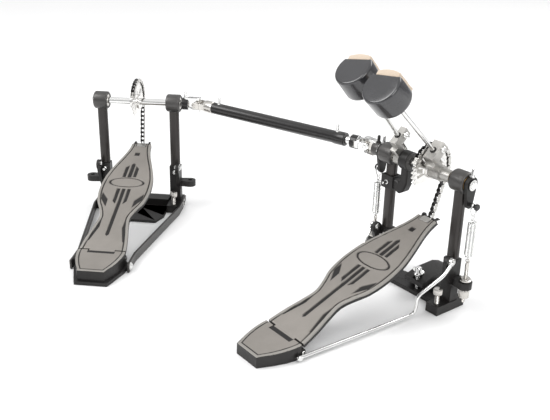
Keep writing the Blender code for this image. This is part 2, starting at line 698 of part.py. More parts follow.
def radius_rod(name, side, slope, parent):
    """Bent wire from the ear on the foot down to the floor and in to the heel."""
    ear_x = side * (POST_X + 4.0 + EAR_THICKNESS + GAP + RADIUS_ROD_RADIUS)
    knee_x = side * (POST_X + RADIUS_ROD_KNEE[0])
    heel_y, heel_x = slope.origin[0] - 12.0, DRIVE_X + side * (HINGE_HALF_WIDTH + 1.0 + GAP + RADIUS_ROD_RADIUS)
    path = [(ear_x, EAR_Y, EAR_Z + 1), (ear_x, EAR_Y - 11, EAR_Z - 12),
            (knee_x, RADIUS_ROD_KNEE[1], RADIUS_ROD_KNEE_Z), (knee_x, RADIUS_ROD_KNEE[1] - 1, RADIUS_ROD_Z + 6),
            (knee_x - side * 1.5, RADIUS_ROD_KNEE[1] - 5, RADIUS_ROD_Z),
            (heel_x, heel_y, RADIUS_ROD_Z)]
    return wire(name, path, RADIUS_ROD_RADIUS, parent, STEEL, sides=10)


# ---------------------------------------------------------------- drum-side base and clamp

def base_bridge(parent):
    """Floor plate between the feet, with the lower lip of the hoop clamp."""
    end = POST_X - 9.5 - GAP
    outline = [(-end, BRIDGE_FRONT), (end, BRIDGE_FRONT), (end, BRIDGE_BACK - 6),
               (CLAMP_X + HOOP_LIP_HALF_WIDTH, BRIDGE_BACK), (CLAMP_X + HOOP_LIP_HALF_WIDTH - 6, HOOP_LIP_END),
               (CLAMP_X - HOOP_LIP_HALF_WIDTH + 6, HOOP_LIP_END), (CLAMP_X - HOOP_LIP_HALF_WIDTH, BRIDGE_BACK),
               (-end, BRIDGE_BACK - 6)]
    bridge = prism("base_bridge", outline, 0.0, BRIDGE_THICKNESS, parent, BLACK)
    lugs = []
    for side in (-1, 1):
        low, high = sorted((CLAMP_X + side * (JAW_HALF_WIDTH + 0.5), CLAMP_X + side * (JAW_HALF_WIDTH + 5)))
        profile = [(CLAMP_PIVOT_Y - 8, 3), (CLAMP_PIVOT_Y + 8, 3), (CLAMP_PIVOT_Y + 5, CLAMP_PIVOT_Z + 3),
                   (CLAMP_PIVOT_Y - 5, CLAMP_PIVOT_Z + 3)]
        lugs.append(prism(f"base_lug_{side}", profile, low, high, parent, along="x"))
    join(bridge, *lugs)
    pivot = rod("base_pivot_hole", (CLAMP_X - 30, CLAMP_PIVOT_Y, CLAMP_PIVOT_Z),
                (CLAMP_X + 30, CLAMP_PIVOT_Y, CLAMP_PIVOT_Z), CLAMP_PIVOT_RADIUS + GAP, parent)
    thread = rod("base_thread", (CLAMP_X, CLAMP_BOLT_Y, -2), (CLAMP_X, CLAMP_BOLT_Y, 10),
                 CLAMP_BOLT_RADIUS + RUNNING_GAP, parent)
    return cut(bridge, pivot, thread)


def clamp_jaw(parent):
    """Upper jaw of the hoop clamp, with its cross pin."""
    mouth = BRIDGE_THICKNESS + HOOP_MOUTH
    profile = [(-12, 15), (-12, 21), (6, mouth + JAW_THICKNESS + 2), (40, mouth + JAW_THICKNESS + 3),
               (HOOP_LIP_END - 3, mouth + JAW_THICKNESS - 1), (HOOP_LIP_END - 3, mouth),
               (CLAMP_PIVOT_Y + 10, mouth), (CLAMP_PIVOT_Y + 3, CLAMP_PIVOT_Z - 4), (CLAMP_PIVOT_Y - 4, 12)]
    jaw = prism("hoop_clamp_jaw", profile, CLAMP_X - JAW_HALF_WIDTH, CLAMP_X + JAW_HALF_WIDTH,
                parent, BLACK, "x")
    reach = JAW_HALF_WIDTH + 5.5
    pin = rod("jaw_pin", (CLAMP_X - reach, CLAMP_PIVOT_Y, CLAMP_PIVOT_Z),
              (CLAMP_X + reach, CLAMP_PIVOT_Y, CLAMP_PIVOT_Z), CLAMP_PIVOT_RADIUS, parent)
    slot = box("jaw_slot", (CLAMP_X - CLAMP_BOLT_RADIUS - 1, CLAMP_BOLT_Y - 6, 5),
               (CLAMP_X + CLAMP_BOLT_RADIUS + 1, CLAMP_BOLT_Y + 6, 40), parent)
    cut(jaw, slot)
    return join(jaw, pin)


def clamp_bolt(parent):
    """T-headed bolt that closes the hoop clamp."""
    top = BRIDGE_THICKNESS + HOOP_MOUTH + JAW_THICKNESS + 1.5
    shank = turned("hoop_clamp_bolt", [(0, 0.8), (CLAMP_BOLT_RADIUS, 0.8), (CLAMP_BOLT_RADIUS, top),
                                       (5.2, top), (5.2, top + 9), (3.4, top + 11), (0, top + 11)],
                   parent, STEEL, (CLAMP_X, CLAMP_BOLT_Y, 0), (0, 0, 1), 16)
    wing = box("clamp_wing", (CLAMP_X - 9.5, CLAMP_BOLT_Y - 1.6, top + 2),
               (CLAMP_X + 9.5, CLAMP_BOLT_Y + 1.6, top + 8), parent)
    return join(shank, wing)


def offset_arm(parent):
    """Bracket that reaches from the left post to the middle bearing."""
    outer = HOUSING_RADIUS - 1.0
    bearing = ring("offset_bearing_arm", AXLE_RADIUS + GAP, outer, -MIDDLE_BEARING_LENGTH / 2,
                   MIDDLE_BEARING_LENGTH / 2, parent, BRONZE_BLACK, (MIDDLE_BEARING_X, 0, AXLE_HEIGHT))
    sleeve_low, sleeve_high = -POST_X - POST_HALF_WIDTH - 2.5, -POST_X + POST_HALF_WIDTH + 2.5
    base = AXLE_HEIGHT - ARM_DROP
    sleeve = box("arm_sleeve", (sleeve_low, -ARM_SLEEVE_HALF_DEPTH, base),
                 (sleeve_high, ARM_SLEEVE_HALF_DEPTH, base + ARM_SLEEVE_HEIGHT), parent)
    post_hole = box("arm_post_hole", (-POST_X - POST_HALF_WIDTH - GAP, -POST_HALF_DEPTH - GAP, base - 7),
                    (-POST_X + POST_HALF_WIDTH + GAP, POST_HALF_DEPTH + GAP, base + 23), parent)
    limb = [(-POST_X + 8, base + 2), (-POST_X + 20, base - 2), (MIDDLE_BEARING_X + 1, base + 3),
            (MIDDLE_BEARING_X + 6, base + 15), (MIDDLE_BEARING_X + 6, base + 37),
            (MIDDLE_BEARING_X - 6, base + 37), (MIDDLE_BEARING_X - 6, base + 19),
            (-POST_X + 18, base + 14), (-POST_X + 8, base + 16)]
    joined = prism("arm_limb", limb, -6.5, 6.5, parent, along="y")
    bevel(joined, 1.5)
    bore = rod("arm_bore", (MIDDLE_BEARING_X - 12, 0, AXLE_HEIGHT), (MIDDLE_BEARING_X + 12, 0, AXLE_HEIGHT),
               AXLE_RADIUS + GAP, parent, sides=28)
    join(bearing, sleeve, joined)
    return cut(bearing, post_hole, bore)


# ---------------------------------------------------------------- axles, cams and springs

def forked_shaft(name, centre, axis, arm_axis, tail, parent, look):
    """Turned shaft with a universal joint fork; axis points from the joint centre along it.

    Tail is the (radius, distance) profile that follows the fork's hub."""
    centre, axis, arm_axis = Vector(centre), Vector(axis).normalized(), Vector(arm_axis).normalized()
    across = axis.cross(arm_axis)
    profile = [(0, YOKE_HUB_START), (YOKE_HUB_RADIUS, YOKE_HUB_START), (YOKE_HUB_RADIUS, YOKE_HUB_END)]
    made = turned(name, profile + tail, parent, look, centre, axis, 24)
    for side in (-1, 1):
        corners = []
        for along in (-YOKE_ARM_REACH, YOKE_HUB_START + 2):
            for out in (YOKE_ARM_INNER, YOKE_ARM_OUTER):
                for wide in (-YOKE_ARM_HALF_WIDTH, YOKE_ARM_HALF_WIDTH):
                    corners.append(centre + axis * along + arm_axis * (side * out) + across * wide)
        faces = [(0, 1, 3, 2), (4, 6, 7, 5), (0, 4, 5, 1), (2, 3, 7, 6), (0, 2, 6, 4), (1, 5, 7, 3)]
        join(made, solid(f"{name}_arm_{side}", corners, faces, parent))
    return cut(made, rod(name + "_holes", centre - arm_axis * 14, centre + arm_axis * 14,
                         CROSS_PIN_RADIUS + RUNNING_GAP, parent))


def joint_cross(name, centre, shaft_axis, parent):
    """Cross of a universal joint: block with one upright and one level pin."""
    centre, shaft_axis = Vector(centre), Vector(shaft_axis).normalized()
    level = Vector((0, 0, 1)).cross(shaft_axis)
    corners = []
    for a in (-CROSS_HALF, CROSS_HALF):
        for b in (-CROSS_HALF, CROSS_HALF):
            for c in (-CROSS_HALF, CROSS_HALF):
                corners.append(centre + shaft_axis * a + level * b + Vector((0, 0, c)))
    faces = [(0, 1, 3, 2), (4, 6, 7, 5), (0, 4, 5, 1), (2, 3, 7, 6), (0, 2, 6, 4), (1, 5, 7, 3)]
    block = solid(name, corners, faces, parent, STEEL)
    reach = YOKE_ARM_OUTER - 0.2
    for label, direction in (("upright", Vector((0, 0, 1))), ("level", level)):
        pin = rod(f"{name}_{label}", centre - direction * reach, centre + direction * reach,
                  CROSS_PIN_RADIUS, parent, sides=16)
        join(block, pin)
    return block


def spring_cam(name, side, inner_x, parent):
    """Arm clamped on the axle end, with the pin that pulls the spring."""
    low, high = sorted((inner_x, inner_x + side * CAM_THICKNESS))
    centre_z = AXLE_HEIGHT
    arm = arc((0, centre_z), CAM_HUB_RADIUS, -25, 205, 12) + \
        arc((0, centre_z - CAM_THROW), 5.5, 200, 340, 8)
    cam = prism(name, arm, low, high, parent, BLACK, "x")
    bore = rod(name + "_bore", (low - 3, 0, centre_z), (high + 3, 0, centre_z), AXLE_RADIUS + GAP, parent)
    cut(cam, bore)
    pin_end = side * (POST_X + SPRING_OFFSET + 4.5)
    pin = rod(name + "_pin", (inner_x + side * 1.0, 0, centre_z - CAM_THROW),
              (pin_end, 0, centre_z - CAM_THROW), CAM_PIN_RADIUS, parent)
    return join(cam, pin)


def spring_set(prefix, side, frame):
    """Return spring: triangular link, coil envelope, eye bolt with its washer and nut."""
    x = side * (POST_X + SPRING_OFFSET)
    tilt = pivot(prefix + "spring_tilt_pivot", frame, (x, 0, TAB_Z))
    stretch = pivot(prefix + "spring_stretch_pivot", tilt, (x, 0, SPRING_TOP - SPRING_LENGTH))
    pin_z = AXLE_HEIGHT - CAM_THROW
    top = pin_z + CAM_PIN_RADIUS + LINK_WIRE_RADIUS + RUNNING_GAP
    link = [(x, -3.2, top), (x, 3.2, top), (x, 6.5, top - 7), (x, 2.0, SPRING_TOP + 8.2),
            (x, -2.0, SPRING_TOP + 8.2), (x, -6.5, top - 7)]
    wire(prefix + "spring_link", link, LINK_WIRE_RADIUS, stretch, STEEL, sides=8, closed=True)
    hook_top = SPRING_TOP + 8.2 - LINK_WIRE_RADIUS - GAP
    coil = [(0, SPRING_TOP - SPRING_LENGTH - 5), (1.6, SPRING_TOP - SPRING_LENGTH - 5),
            (SPRING_RADIUS, SPRING_TOP - SPRING_LENGTH), (SPRING_RADIUS, SPRING_TOP), (1.6, SPRING_TOP + 4),
            (1.6, hook_top), (0, hook_top)]
    turned(prefix + "spring", coil, stretch, STEEL, (x, 0, 0), (0, 0, 1), 16)
    eye_top = SPRING_TOP - SPRING_LENGTH - 5 - GAP
    tab_top, tab_low = TAB_Z + TAB_HALF_THICKNESS, TAB_Z - TAB_HALF_THICKNESS
    seat = TAB_PLAY
    bolt = [(0, EYE_BOLT_BOTTOM), (EYE_BOLT_RADIUS, EYE_BOLT_BOTTOM), (EYE_BOLT_RADIUS, tab_low - 13),
            (SPRING_NUT_RADIUS, tab_low - 13), (SPRING_NUT_RADIUS, tab_low - seat),
            (EYE_BOLT_RADIUS, tab_low - seat), (EYE_BOLT_RADIUS, tab_top + seat),
            (SPRING_WASHER_RADIUS, tab_top + seat), (SPRING_WASHER_RADIUS, tab_top + 5),
            (EYE_BOLT_RADIUS, tab_top + 5), (EYE_BOLT_RADIUS, eye_top - 9),
            (EYE_BOLT_RADIUS + 0.8, eye_top - 7), (1.6, eye_top), (0, eye_top)]
    turned(prefix + "eye_bolt", bolt, tilt, STEEL, (x, 0, 0), (0, 0, 1), 16)


# ---------------------------------------------------------------- beaters

def beater_point(x, out, high):
    """Point at distance out from the axle square to the rod, and high along the rod."""
    lean = radians(RIGHT_LEAN if x > 0 else LEFT_LEAN)
    y = out * cos(lean) - high * sin(lean)
    z = out * sin(lean) + high * cos(lean)
    return Vector((x, y, AXLE_HEIGHT + z))


def beater_prism(name, outline, low, high, x, parent, look=None):
    """Extrude an (x, out) outline along the rod from low to high."""
    count = len(outline)
    points = [beater_point(x, b, level) + Vector((a, 0, 0)) for level in (low, high) for a, b in outline]
    faces = [tuple(range(count)), tuple(range(count, 2 * count))]
    faces += [(i, (i + 1) % count, count + (i + 1) % count, count + i) for i in range(count)]
    return solid(name, points, faces, parent, look)


def beater_holder(name, span, sleeve, parent):
    """Block that clamps the rod, on a ring round the axle, with an optional sleeve."""
    low, high = span
    centre, half = (low + high) / 2, (high - low) / 2
    outline = [(-half, HOLDER_NEAR), (half, HOLDER_NEAR), (half, HOLDER_FAR), (-half, HOLDER_FAR)]
    block = beater_prism(name, outline, HOLDER_LOW, HOLDER_HIGH, centre, parent, GREY_METAL)
    hub = [(0, low - GAP), (HOLDER_HUB_RADIUS, low - GAP), (HOLDER_HUB_RADIUS, high + GAP)]
    end = high + GAP
    if sleeve:
        end = high + sleeve
        hub += [(SLEEVE_RADIUS, high + GAP), (SLEEVE_RADIUS, end)]
    join(block, turned(name + "_hub", hub + [(0, end)], parent, None, (0, 0, AXLE_HEIGHT)))
    inner, outer = HOLDER_NECK
    neck = [(GAP - half, inner), (half - GAP, inner), (half - GAP, outer), (GAP - half, outer)]
    join(block, beater_prism(name + "_neck", neck, 0, HOLDER_LOW + 2, centre, parent))
    cut(block, rod(name + "_rod_bore", beater_point(centre, BEATER_OFFSET, -30),
                   beater_point(centre, BEATER_OFFSET, HOLDER_HIGH + 9), ROD_RADIUS + GAP, parent))
    return cut(block, rod(name + "_bore", (low - 5, 0, AXLE_HEIGHT), (end + 5, 0, AXLE_HEIGHT),
                          AXLE_RADIUS + GAP, parent))


def about_rod(outline, twist):
    """Turn an outline that is centred on the rod, and place it at the rod's offset."""
    turn_cos, turn_sin = cos(radians(twist)), sin(radians(twist))
    return [(a * turn_cos - b * turn_sin, a * turn_sin + b * turn_cos + BEATER_OFFSET) for a, b in outline]


def beater(prefix, x, head_end, twist, axle):
    """Rod, cylindrical head and the felt let into its drum side, turned by twist about the rod."""
    up = beater_point(x, 0, 1) - beater_point(x, 0, 0)
    foot_point = beater_point(x, BEATER_OFFSET, 0)
    slide = pivot(prefix + "beater_slide_pivot", axle, foot_point)
    head = pivot(prefix + "beater_turn_pivot", slide, foot_point)
    head_start = head_end - HEAD_LENGTH
    rod(prefix + "beater_rod", beater_point(x, BEATER_OFFSET, ROD_TAIL),
        beater_point(x, BEATER_OFFSET, head_start + ROD_DEPTH), ROD_RADIUS, slide, CHROME, 16)
    profile = [(0, head_start), (HEAD_RADIUS - HEAD_ROUND, head_start),
               (HEAD_RADIUS, head_start + HEAD_ROUND), (HEAD_RADIUS, head_end - HEAD_ROUND),
               (HEAD_RADIUS - HEAD_ROUND, head_end), (0, head_end)]
    body = turned(prefix + "beater_head", profile, head, HEAD_PLASTIC, foot_point, up, 32)
    wall = FELT_HALF_WIDTH + GAP
    seat = [(-wall, FELT_CHORD), (wall, FELT_CHORD), (wall, 60), (-wall, 60)]
    cut(body, beater_prism(prefix + "felt_seat", about_rod(seat, twist), head_start - 5, head_end + 5, x,
                           head))
    cut(body, rod(prefix + "rod_socket", beater_point(x, BEATER_OFFSET, head_start - 10),
                  beater_point(x, BEATER_OFFSET, head_start + ROD_DEPTH + 0.5), ROD_RADIUS + GAP,
                  head))
    chord = FELT_CHORD + GAP
    edge = degrees(asin(FELT_HALF_WIDTH / FELT_RADIUS))
    outline = [(-FELT_HALF_WIDTH, chord), (FELT_HALF_WIDTH, chord)]
    outline += arc((0, FELT_CROWN - FELT_RADIUS), FELT_RADIUS, 90 - edge, 90 + edge, 12)
    beater_prism(prefix + "beater_felt", about_rod(outline, twist), head_start + FELT_INSET,
                 head_end - FELT_INSET, x, head, FELT)


# ---------------------------------------------------------------- drive shaft

def heading_vector(angle):
    return Vector((cos(radians(angle)), sin(radians(angle)), 0))


def shaft_joints():
    """Centres of the drum-side and outrigger universal joints."""
    near = Vector((JOINT_X, 0, AXLE_HEIGHT))
    return near, near - heading_vector(SHAFT_ANGLE) * SHAFT_LENGTH


def outrigger_origin():
    far = shaft_joints()[1]
    origin = far - heading_vector(OUTRIGGER_TURN) * OUTRIGGER_JOINT_X
    return (origin.x, origin.y, 0)


def shaft_rod(parent):
    """Inner rod of the drive shaft with its drum-side fork."""
    near = shaft_joints()[0]
    back = -heading_vector(SHAFT_ANGLE)
    level = Vector((0, 0, 1)).cross(back)
    tail = [(INNER_ROD_RADIUS, YOKE_HUB_END), (INNER_ROD_RADIUS, INNER_ROD_END), (0, INNER_ROD_END)]
    return forked_shaft("drive_shaft_rod", near, back, level, tail, parent, CHROME)


def drive_tube(parent):
    """Outer tube of the drive shaft with the outrigger fork; the rod slides in its bore."""
    far = shaft_joints()[1]
    ahead = heading_vector(SHAFT_ANGLE)
    level = Vector((0, 0, 1)).cross(ahead)
    length = SHAFT_LENGTH - TUBE_START
    bore, floor = INNER_ROD_RADIUS + RUNNING_GAP, YOKE_HUB_END + 12
    tail = [(TUBE_RADIUS, YOKE_HUB_END + 3), (TUBE_RADIUS, length - 1), (TUBE_RADIUS - 1, length),
            (bore, length), (bore, floor), (0, floor)]
    return forked_shaft("drive_shaft_tube", far, ahead, level, tail, parent, BRONZE_BLACK)


# ---------------------------------------------------------------- outrigger floor parts

def base_plate(parent):
    """Steel floor plate under the outrigger, between its feet."""
    end = POST_X - 9.5 - GAP
    outline = [(-end, PLATE_FRONT + 22), (-end + 8, PLATE_FRONT), (end - 8, PLATE_FRONT), (end, PLATE_FRONT + 22),
               (end, PLATE_BACK - 14), (end - 16, PLATE_BACK), (-end + 16, PLATE_BACK), (-end, PLATE_BACK - 14)]
    plate = prism("outrigger_base_plate", outline, 0.0, PLATE_THICKNESS, parent, BLACK)
    rib = box("plate_rib", (-end + 1, -12, 1), (end - 1, 10, 15), parent)
    return join(plate, rib)


def side_bar(name, side, parent):
    """Flat strip on edge from the outrigger foot to its heel plate."""
    back_x = side * (POST_X + 9.5 + GAP)
    front_x = side * (BAR_HEEL_X + GAP)
    step = side * BAR_THICKNESS
    outline = [(back_x, FOOT_BACK - 6), (back_x + step, FOOT_BACK - 6), (back_x + step, BAR_BACK_Y - 1),
               (front_x + step, BAR_FRONT_Y + 22), (front_x + step, BAR_FRONT_Y - 14),
               (front_x, BAR_FRONT_Y - 14), (front_x, BAR_FRONT_Y + 22), (back_x, BAR_BACK_Y)]
    return prism(name, outline, 0.4, 0.4 + BAR_HEIGHT, parent, BRONZE_BLACK)


# ---------------------------------------------------------------- the two pedals

def drum_pedal():
    """Everything on the drum side."""
    frame = frame_marker("drum_frame")
    right_axle = pivot("right_axle_pivot", frame, (0, 0, AXLE_HEIGHT))
    left_axle = pivot("left_axle_pivot", frame, (0, 0, AXLE_HEIGHT))
    slope = Slope(HINGE_Y, HINGE_Z, TOE_RISE)
    board_pivot = pivot("footboard_pivot", frame, (DRIVE_X, *slope.hinge_pin()))
    jaw_pivot = pivot("hoop_clamp_pivot", frame, (CLAMP_X, CLAMP_PIVOT_Y, CLAMP_PIVOT_Z))
    base_bridge(frame)
    clamp_jaw(jaw_pivot)
    clamp_bolt(frame)
    for label, side in (("right_", 1), ("left_", -1)):
        foot(label + "foot", side, frame)
        collar_x = side * POST_X - (LEFT_HOUSING_SHIFT if side < 0 else 0.0)
        post(label + "post", side * POST_X, collar_x, frame)
        radius_rod(label + "radius_rod", side, slope, frame)
        anchor_screw(label + "anchor_screw", side, frame)
        spring_set(label, side, frame)
    offset_arm(frame)
    heel_block("heel_block", DRIVE_X, slope, 0.0, frame)
    hinge_pin("heel_hinge_pin", DRIVE_X, slope, frame)
    footboard("footboard", DRIVE_X, slope, board_pivot)
    chain_drive("", DRIVE_X, slope.toe_pin(), right_axle, board_pivot)

    half = HOUSING_LENGTH / 2
    right_face = POST_X + half + 0.8
    left_face = -POST_X - LEFT_HOUSING_SHIFT - half - 0.8
    rod("right_axle", (MIDDLE_BEARING_X + 0.5, 0, AXLE_HEIGHT), (right_face + CAM_THICKNESS + 4, 0, AXLE_HEIGHT),
        AXLE_RADIUS, right_axle, CHROME, 24)
    inner_end = MIDDLE_BEARING_X - 0.5 - JOINT_X
    tail = [(AXLE_RADIUS, YOKE_HUB_END), (AXLE_RADIUS, inner_end), (0, inner_end)]
    forked_shaft("left_axle", (JOINT_X, 0, AXLE_HEIGHT), (1, 0, 0), (0, 0, 1), tail, left_axle, CHROME)
    spring_cam("right_spring_cam", 1, right_face, right_axle)
    spring_cam("left_spring_cam", -1, left_face, left_axle)
    beater_holder("right_beater_holder", RIGHT_HOLDER, SLEEVE_LENGTH, right_axle)
    beater_holder("left_beater_holder", LEFT_HOLDER, 0.0, left_axle)
    beater("right_", sum(RIGHT_HOLDER) / 2, RIGHT_HEAD_END, RIGHT_HEAD_TWIST, right_axle)
    beater("left_", sum(LEFT_HOLDER) / 2, LEFT_HEAD_END, LEFT_HEAD_TWIST, left_axle)


def outrigger_pedal():
    """The pedal for the other foot, turned about Z."""
    frame = frame_marker("outrigger_frame", outrigger_origin(), OUTRIGGER_TURN)
    slope = Slope(OUTRIGGER_HINGE_Y, OUTRIGGER_HINGE_Z, OUTRIGGER_TOE_RISE)
    axle = pivot("outrigger_axle_pivot", frame, (0, 0, AXLE_HEIGHT))
    board_pivot = pivot("outrigger_footboard_pivot", frame, (0, *slope.hinge_pin()))
    base_plate(frame)
    for label, side in (("right_", 1), ("left_", -1)):
        name = "outrigger_" + label
        foot(name + "foot", side, frame)
        post(name + "post", side * POST_X, side * POST_X, frame)
        anchor_screw(name + "anchor_screw", side, frame)
        side_bar(name + "side_bar", side, frame)
    plate_outline = [(a, slope.origin[0] - b) for a, b in heel_outline(HEEL_PLATE_MARGIN)]
    plate = prism("outrigger_heel_plate", plate_outline, 0.0, HEEL_PLATE_THICKNESS, frame)
    heel_block("outrigger_heel_block", 0.0, slope, HEEL_PLATE_THICKNESS / 2, frame, plate)
    hinge_pin("outrigger_heel_hinge_pin", 0.0, slope, frame)
    footboard("outrigger_footboard", 0.0, slope, board_pivot)
    chain_drive("outrigger_", 0.0, slope.toe_pin(), axle, board_pivot)
    far_end = OUTRIGGER_JOINT_X + POST_X + HOUSING_LENGTH / 2 + 4
    tail = [(AXLE_RADIUS, YOKE_HUB_END), (AXLE_RADIUS, far_end), (0, far_end)]
    forked_shaft("outrigger_axle", (OUTRIGGER_JOINT_X, 0, AXLE_HEIGHT), (-1, 0, 0), (0, 0, 1), tail, axle,
                 CHROME)


def main():
    for leftover in list(bpy.data.objects):
        bpy.data.objects.remove(leftover, do_unlink=True)
    drum_pedal()
    outrigger_pedal()
    near, far = shaft_joints()
    shaft = frame_marker("shaft_frame")
    near_pivot = pivot("drum_joint_pivot", shaft, near)
    far_pivot = pivot("outrigger_joint_pivot", shaft, far)
    shaft_rod(near_pivot)
    drive_tube(far_pivot)
    joint_cross("drum_joint_cross", near, -heading_vector(SHAFT_ANGLE), near_pivot)
    joint_cross("outrigger_joint_cross", far, heading_vector(SHAFT_ANGLE), far_pivot)


main()
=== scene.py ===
"""Finished surfaces of a twin bass drum pedal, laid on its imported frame.

Sizes are millimetres in a pedal's own frame: x along its axle, y towards the drum, z up from the
floor. A shape is a pair (points, faces): points is an array with a row for each corner, and faces is
a list of corner numbers. Every placed piece is in metres, with its object at the origin.
"""
import json
import bmesh
import bpy
import numpy as np
from math import radians
from mathutils import Matrix, Vector


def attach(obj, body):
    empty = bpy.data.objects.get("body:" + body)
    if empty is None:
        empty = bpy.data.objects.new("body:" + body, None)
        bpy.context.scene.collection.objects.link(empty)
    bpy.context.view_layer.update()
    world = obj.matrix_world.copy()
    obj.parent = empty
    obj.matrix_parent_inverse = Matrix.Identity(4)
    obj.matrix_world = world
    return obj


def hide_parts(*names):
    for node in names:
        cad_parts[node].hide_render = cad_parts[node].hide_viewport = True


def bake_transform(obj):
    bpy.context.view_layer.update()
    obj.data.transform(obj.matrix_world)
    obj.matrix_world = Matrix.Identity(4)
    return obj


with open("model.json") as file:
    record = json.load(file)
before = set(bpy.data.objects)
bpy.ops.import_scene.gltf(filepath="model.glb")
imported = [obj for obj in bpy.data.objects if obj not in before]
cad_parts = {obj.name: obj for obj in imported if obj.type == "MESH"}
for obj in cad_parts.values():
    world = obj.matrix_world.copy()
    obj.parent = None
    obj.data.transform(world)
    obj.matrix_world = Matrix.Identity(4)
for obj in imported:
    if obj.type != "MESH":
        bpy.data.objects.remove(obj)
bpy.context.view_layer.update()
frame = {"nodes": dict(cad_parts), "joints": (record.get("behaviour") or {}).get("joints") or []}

MM = 0.001
TAU = 2.0 * np.pi

# ---- sizes of the frame that the pieces are fitted to
AXLE_Z = 172.0
POST_X = 57.0
POST_HALF = (7.6, 5.6)
POST_TOP = 160.8
FOOT_TOP = 70.0
COLLAR_RADIUS = 13.5
COLLAR_HALF = 11.0
AXLE_RADIUS = 5.0
CHAIN_PITCH = 6.35
TEETH = 32
SPROCKET_DROP = 15.4
TOOTH_ROOT = 30.4
TOOTH_HEIGHT = 3.3
WEB_START = 13.0
WEB_HALF = 1.6
WINDOW_RANGE = (14.0, 25.0)
WEB_ROWS = [(11.0, 1.6), (13.0, 1.6), (14.5, 0.55), (17.5, 0.45), (21.5, 0.45), (24.0, 0.55),
            (25.5, 1.5), (27.5, 1.5)]
PITCH_RADIUS = CHAIN_PITCH / (2.0 * np.sin(np.pi / TEETH))
FEED_LINKS = 4
WRAP_START = 158.0
BOARD_LENGTH = 244.0
BOARD_OUTLINE = [(0.0, 32.5), (25.0, 29.5), (50.0, 24.6), (68.0, 22.4), (84.0, 27.0), (103.0, 35.0),
                 (126.0, 38.4), (146.0, 38.2), (166.0, 35.4), (190.0, 28.6), (212.0, 21.4),
                 (230.0, 16.8), (244.0, 15.3)]
HEEL_OUTLINE = [(2.5, 33.3), (8.0, 33.3), (22.0, 31.0), (38.0, 26.0), (56.0, 18.6)]
HEEL_LENGTH = 56.0
HEEL_DROP = 4.6
HINGE_DEPTH = 11.0
TONGUE_HALF = 18.0
TONGUE_LENGTH = 9.0
TOE_PIN = (249.0, -4.5)
SPRING_X = 80.0
SPRING_LOW = 77.5
SPRING_HIGH = 131.0
CAM_PIN_DROP = 25.0
BEATER_OFFSET = 13.5
HEAD_RADIUS = 23.8
HEAD_LENGTH = 34.5
FELT_CHORD = 13.0
FELT_CROWN = 22.3
FELT_RADIUS = 45.0
FELT_HALF_WIDTH = 16.0
TUBE_START = 34.0
LEFT_JOINT_X = -104.0
OUTRIGGER_JOINT_X = 95.0
SHAFT_START = np.array([LEFT_JOINT_X, 0.0, AXLE_Z])


# ---------------------------------------------------------------- frames

JOINTS = {joint["name"]: joint for joint in frame["joints"]}


def turned_frame(joint):
    """A pedal's frame from its axle joint: its x axis is the reverse of the joint's axis."""
    across = -np.array(JOINTS[joint]["axis"])
    ahead = np.array([-across[1], across[0], 0.0])
    origin = np.array(JOINTS[joint]["pos_m"]) / MM
    origin[2] = 0.0
    return np.column_stack([across, ahead, [0.0, 0.0, 1.0]]), origin


DRUM = (np.eye(3), np.zeros(3))
OUTRIGGER = turned_frame("outrigger_axle_turn")
SHAFT_END = np.array(JOINTS["drive_shaft_tube_spin"]["pos_m"]) / MM


# ---------------------------------------------------------------- surfaces

def unit(vector):
    vector = np.asarray(vector, float)
    return vector / np.linalg.norm(vector, axis=-1, keepdims=True)


def grid_faces(rows, columns, wrap=False):
    """Quads between neighbouring rows and columns; wrap joins the last column to the first."""
    across = columns if wrap else columns - 1
    row, column = np.meshgrid(np.arange(rows - 1), np.arange(across), indexing="ij")
    after = (column + 1) % columns
    quads = np.stack([row * columns + column, row * columns + after,
                      (row + 1) * columns + after, (row + 1) * columns + column], axis=-1)
    return quads.reshape(-1, 4).tolist()


def together(*shapes):
    """Several shapes as one, each one's corner numbers moved past those before it."""
    points, faces, count = [], [], 0
    for corners, quads in shapes:
        points.append(corners)
        faces += [[index + count for index in quad] for quad in quads]
        count += len(corners)
    return np.vstack(points), faces


def square_axes(axis, near=(0.0, 0.0, 1.0)):
    """Two unit vectors square to axis, the first one as near as can be to near."""
    axis = unit(axis)
    first = np.asarray(near, float) - axis * np.dot(near, axis)
    if np.linalg.norm(first) < 1e-6:
        first = np.array([1.0, 0.0, 0.0]) - axis * axis[0]
    first = unit(first)
    return first, np.cross(axis, first)


def lathe(profile, centre, axis, sides=48, ripple=(0, 0.0), near=(0.0, 0.0, 1.0)):
    """Surface of revolution: centre + axis * along + radius * (cos a, sin a) for each profile row.

    A profile row is (radius, along). Ripple is (count, depth): the radius is multiplied by
    1 + depth * triangle(count * a), which gives knurls. A profile that ends off the axis is
    closed there with a flat cap."""
    profile = np.asarray(profile, float)
    if profile[0, 0] > 0 and np.abs(profile[0] - profile[-1]).max() > 1e-6:
        profile = np.vstack([[0.0, profile[0, 1]], profile, [0.0, profile[-1, 1]]])
    first, second = square_axes(axis, near)
    angle = np.arange(sides) * TAU / sides
    count, depth = ripple
    wave = 1.0 + depth * (2.0 * np.abs((angle * count / TAU) % 1.0 - 0.5) * 2.0 - 1.0)
    spokes = np.cos(angle)[:, None] * first + np.sin(angle)[:, None] * second
    points = (np.asarray(centre, float) + profile[:, 1][:, None, None] * unit(axis)
              + (profile[:, 0][:, None] * wave)[:, :, None] * spokes)
    return points.reshape(-1, 3), grid_faces(len(profile), sides, wrap=True)


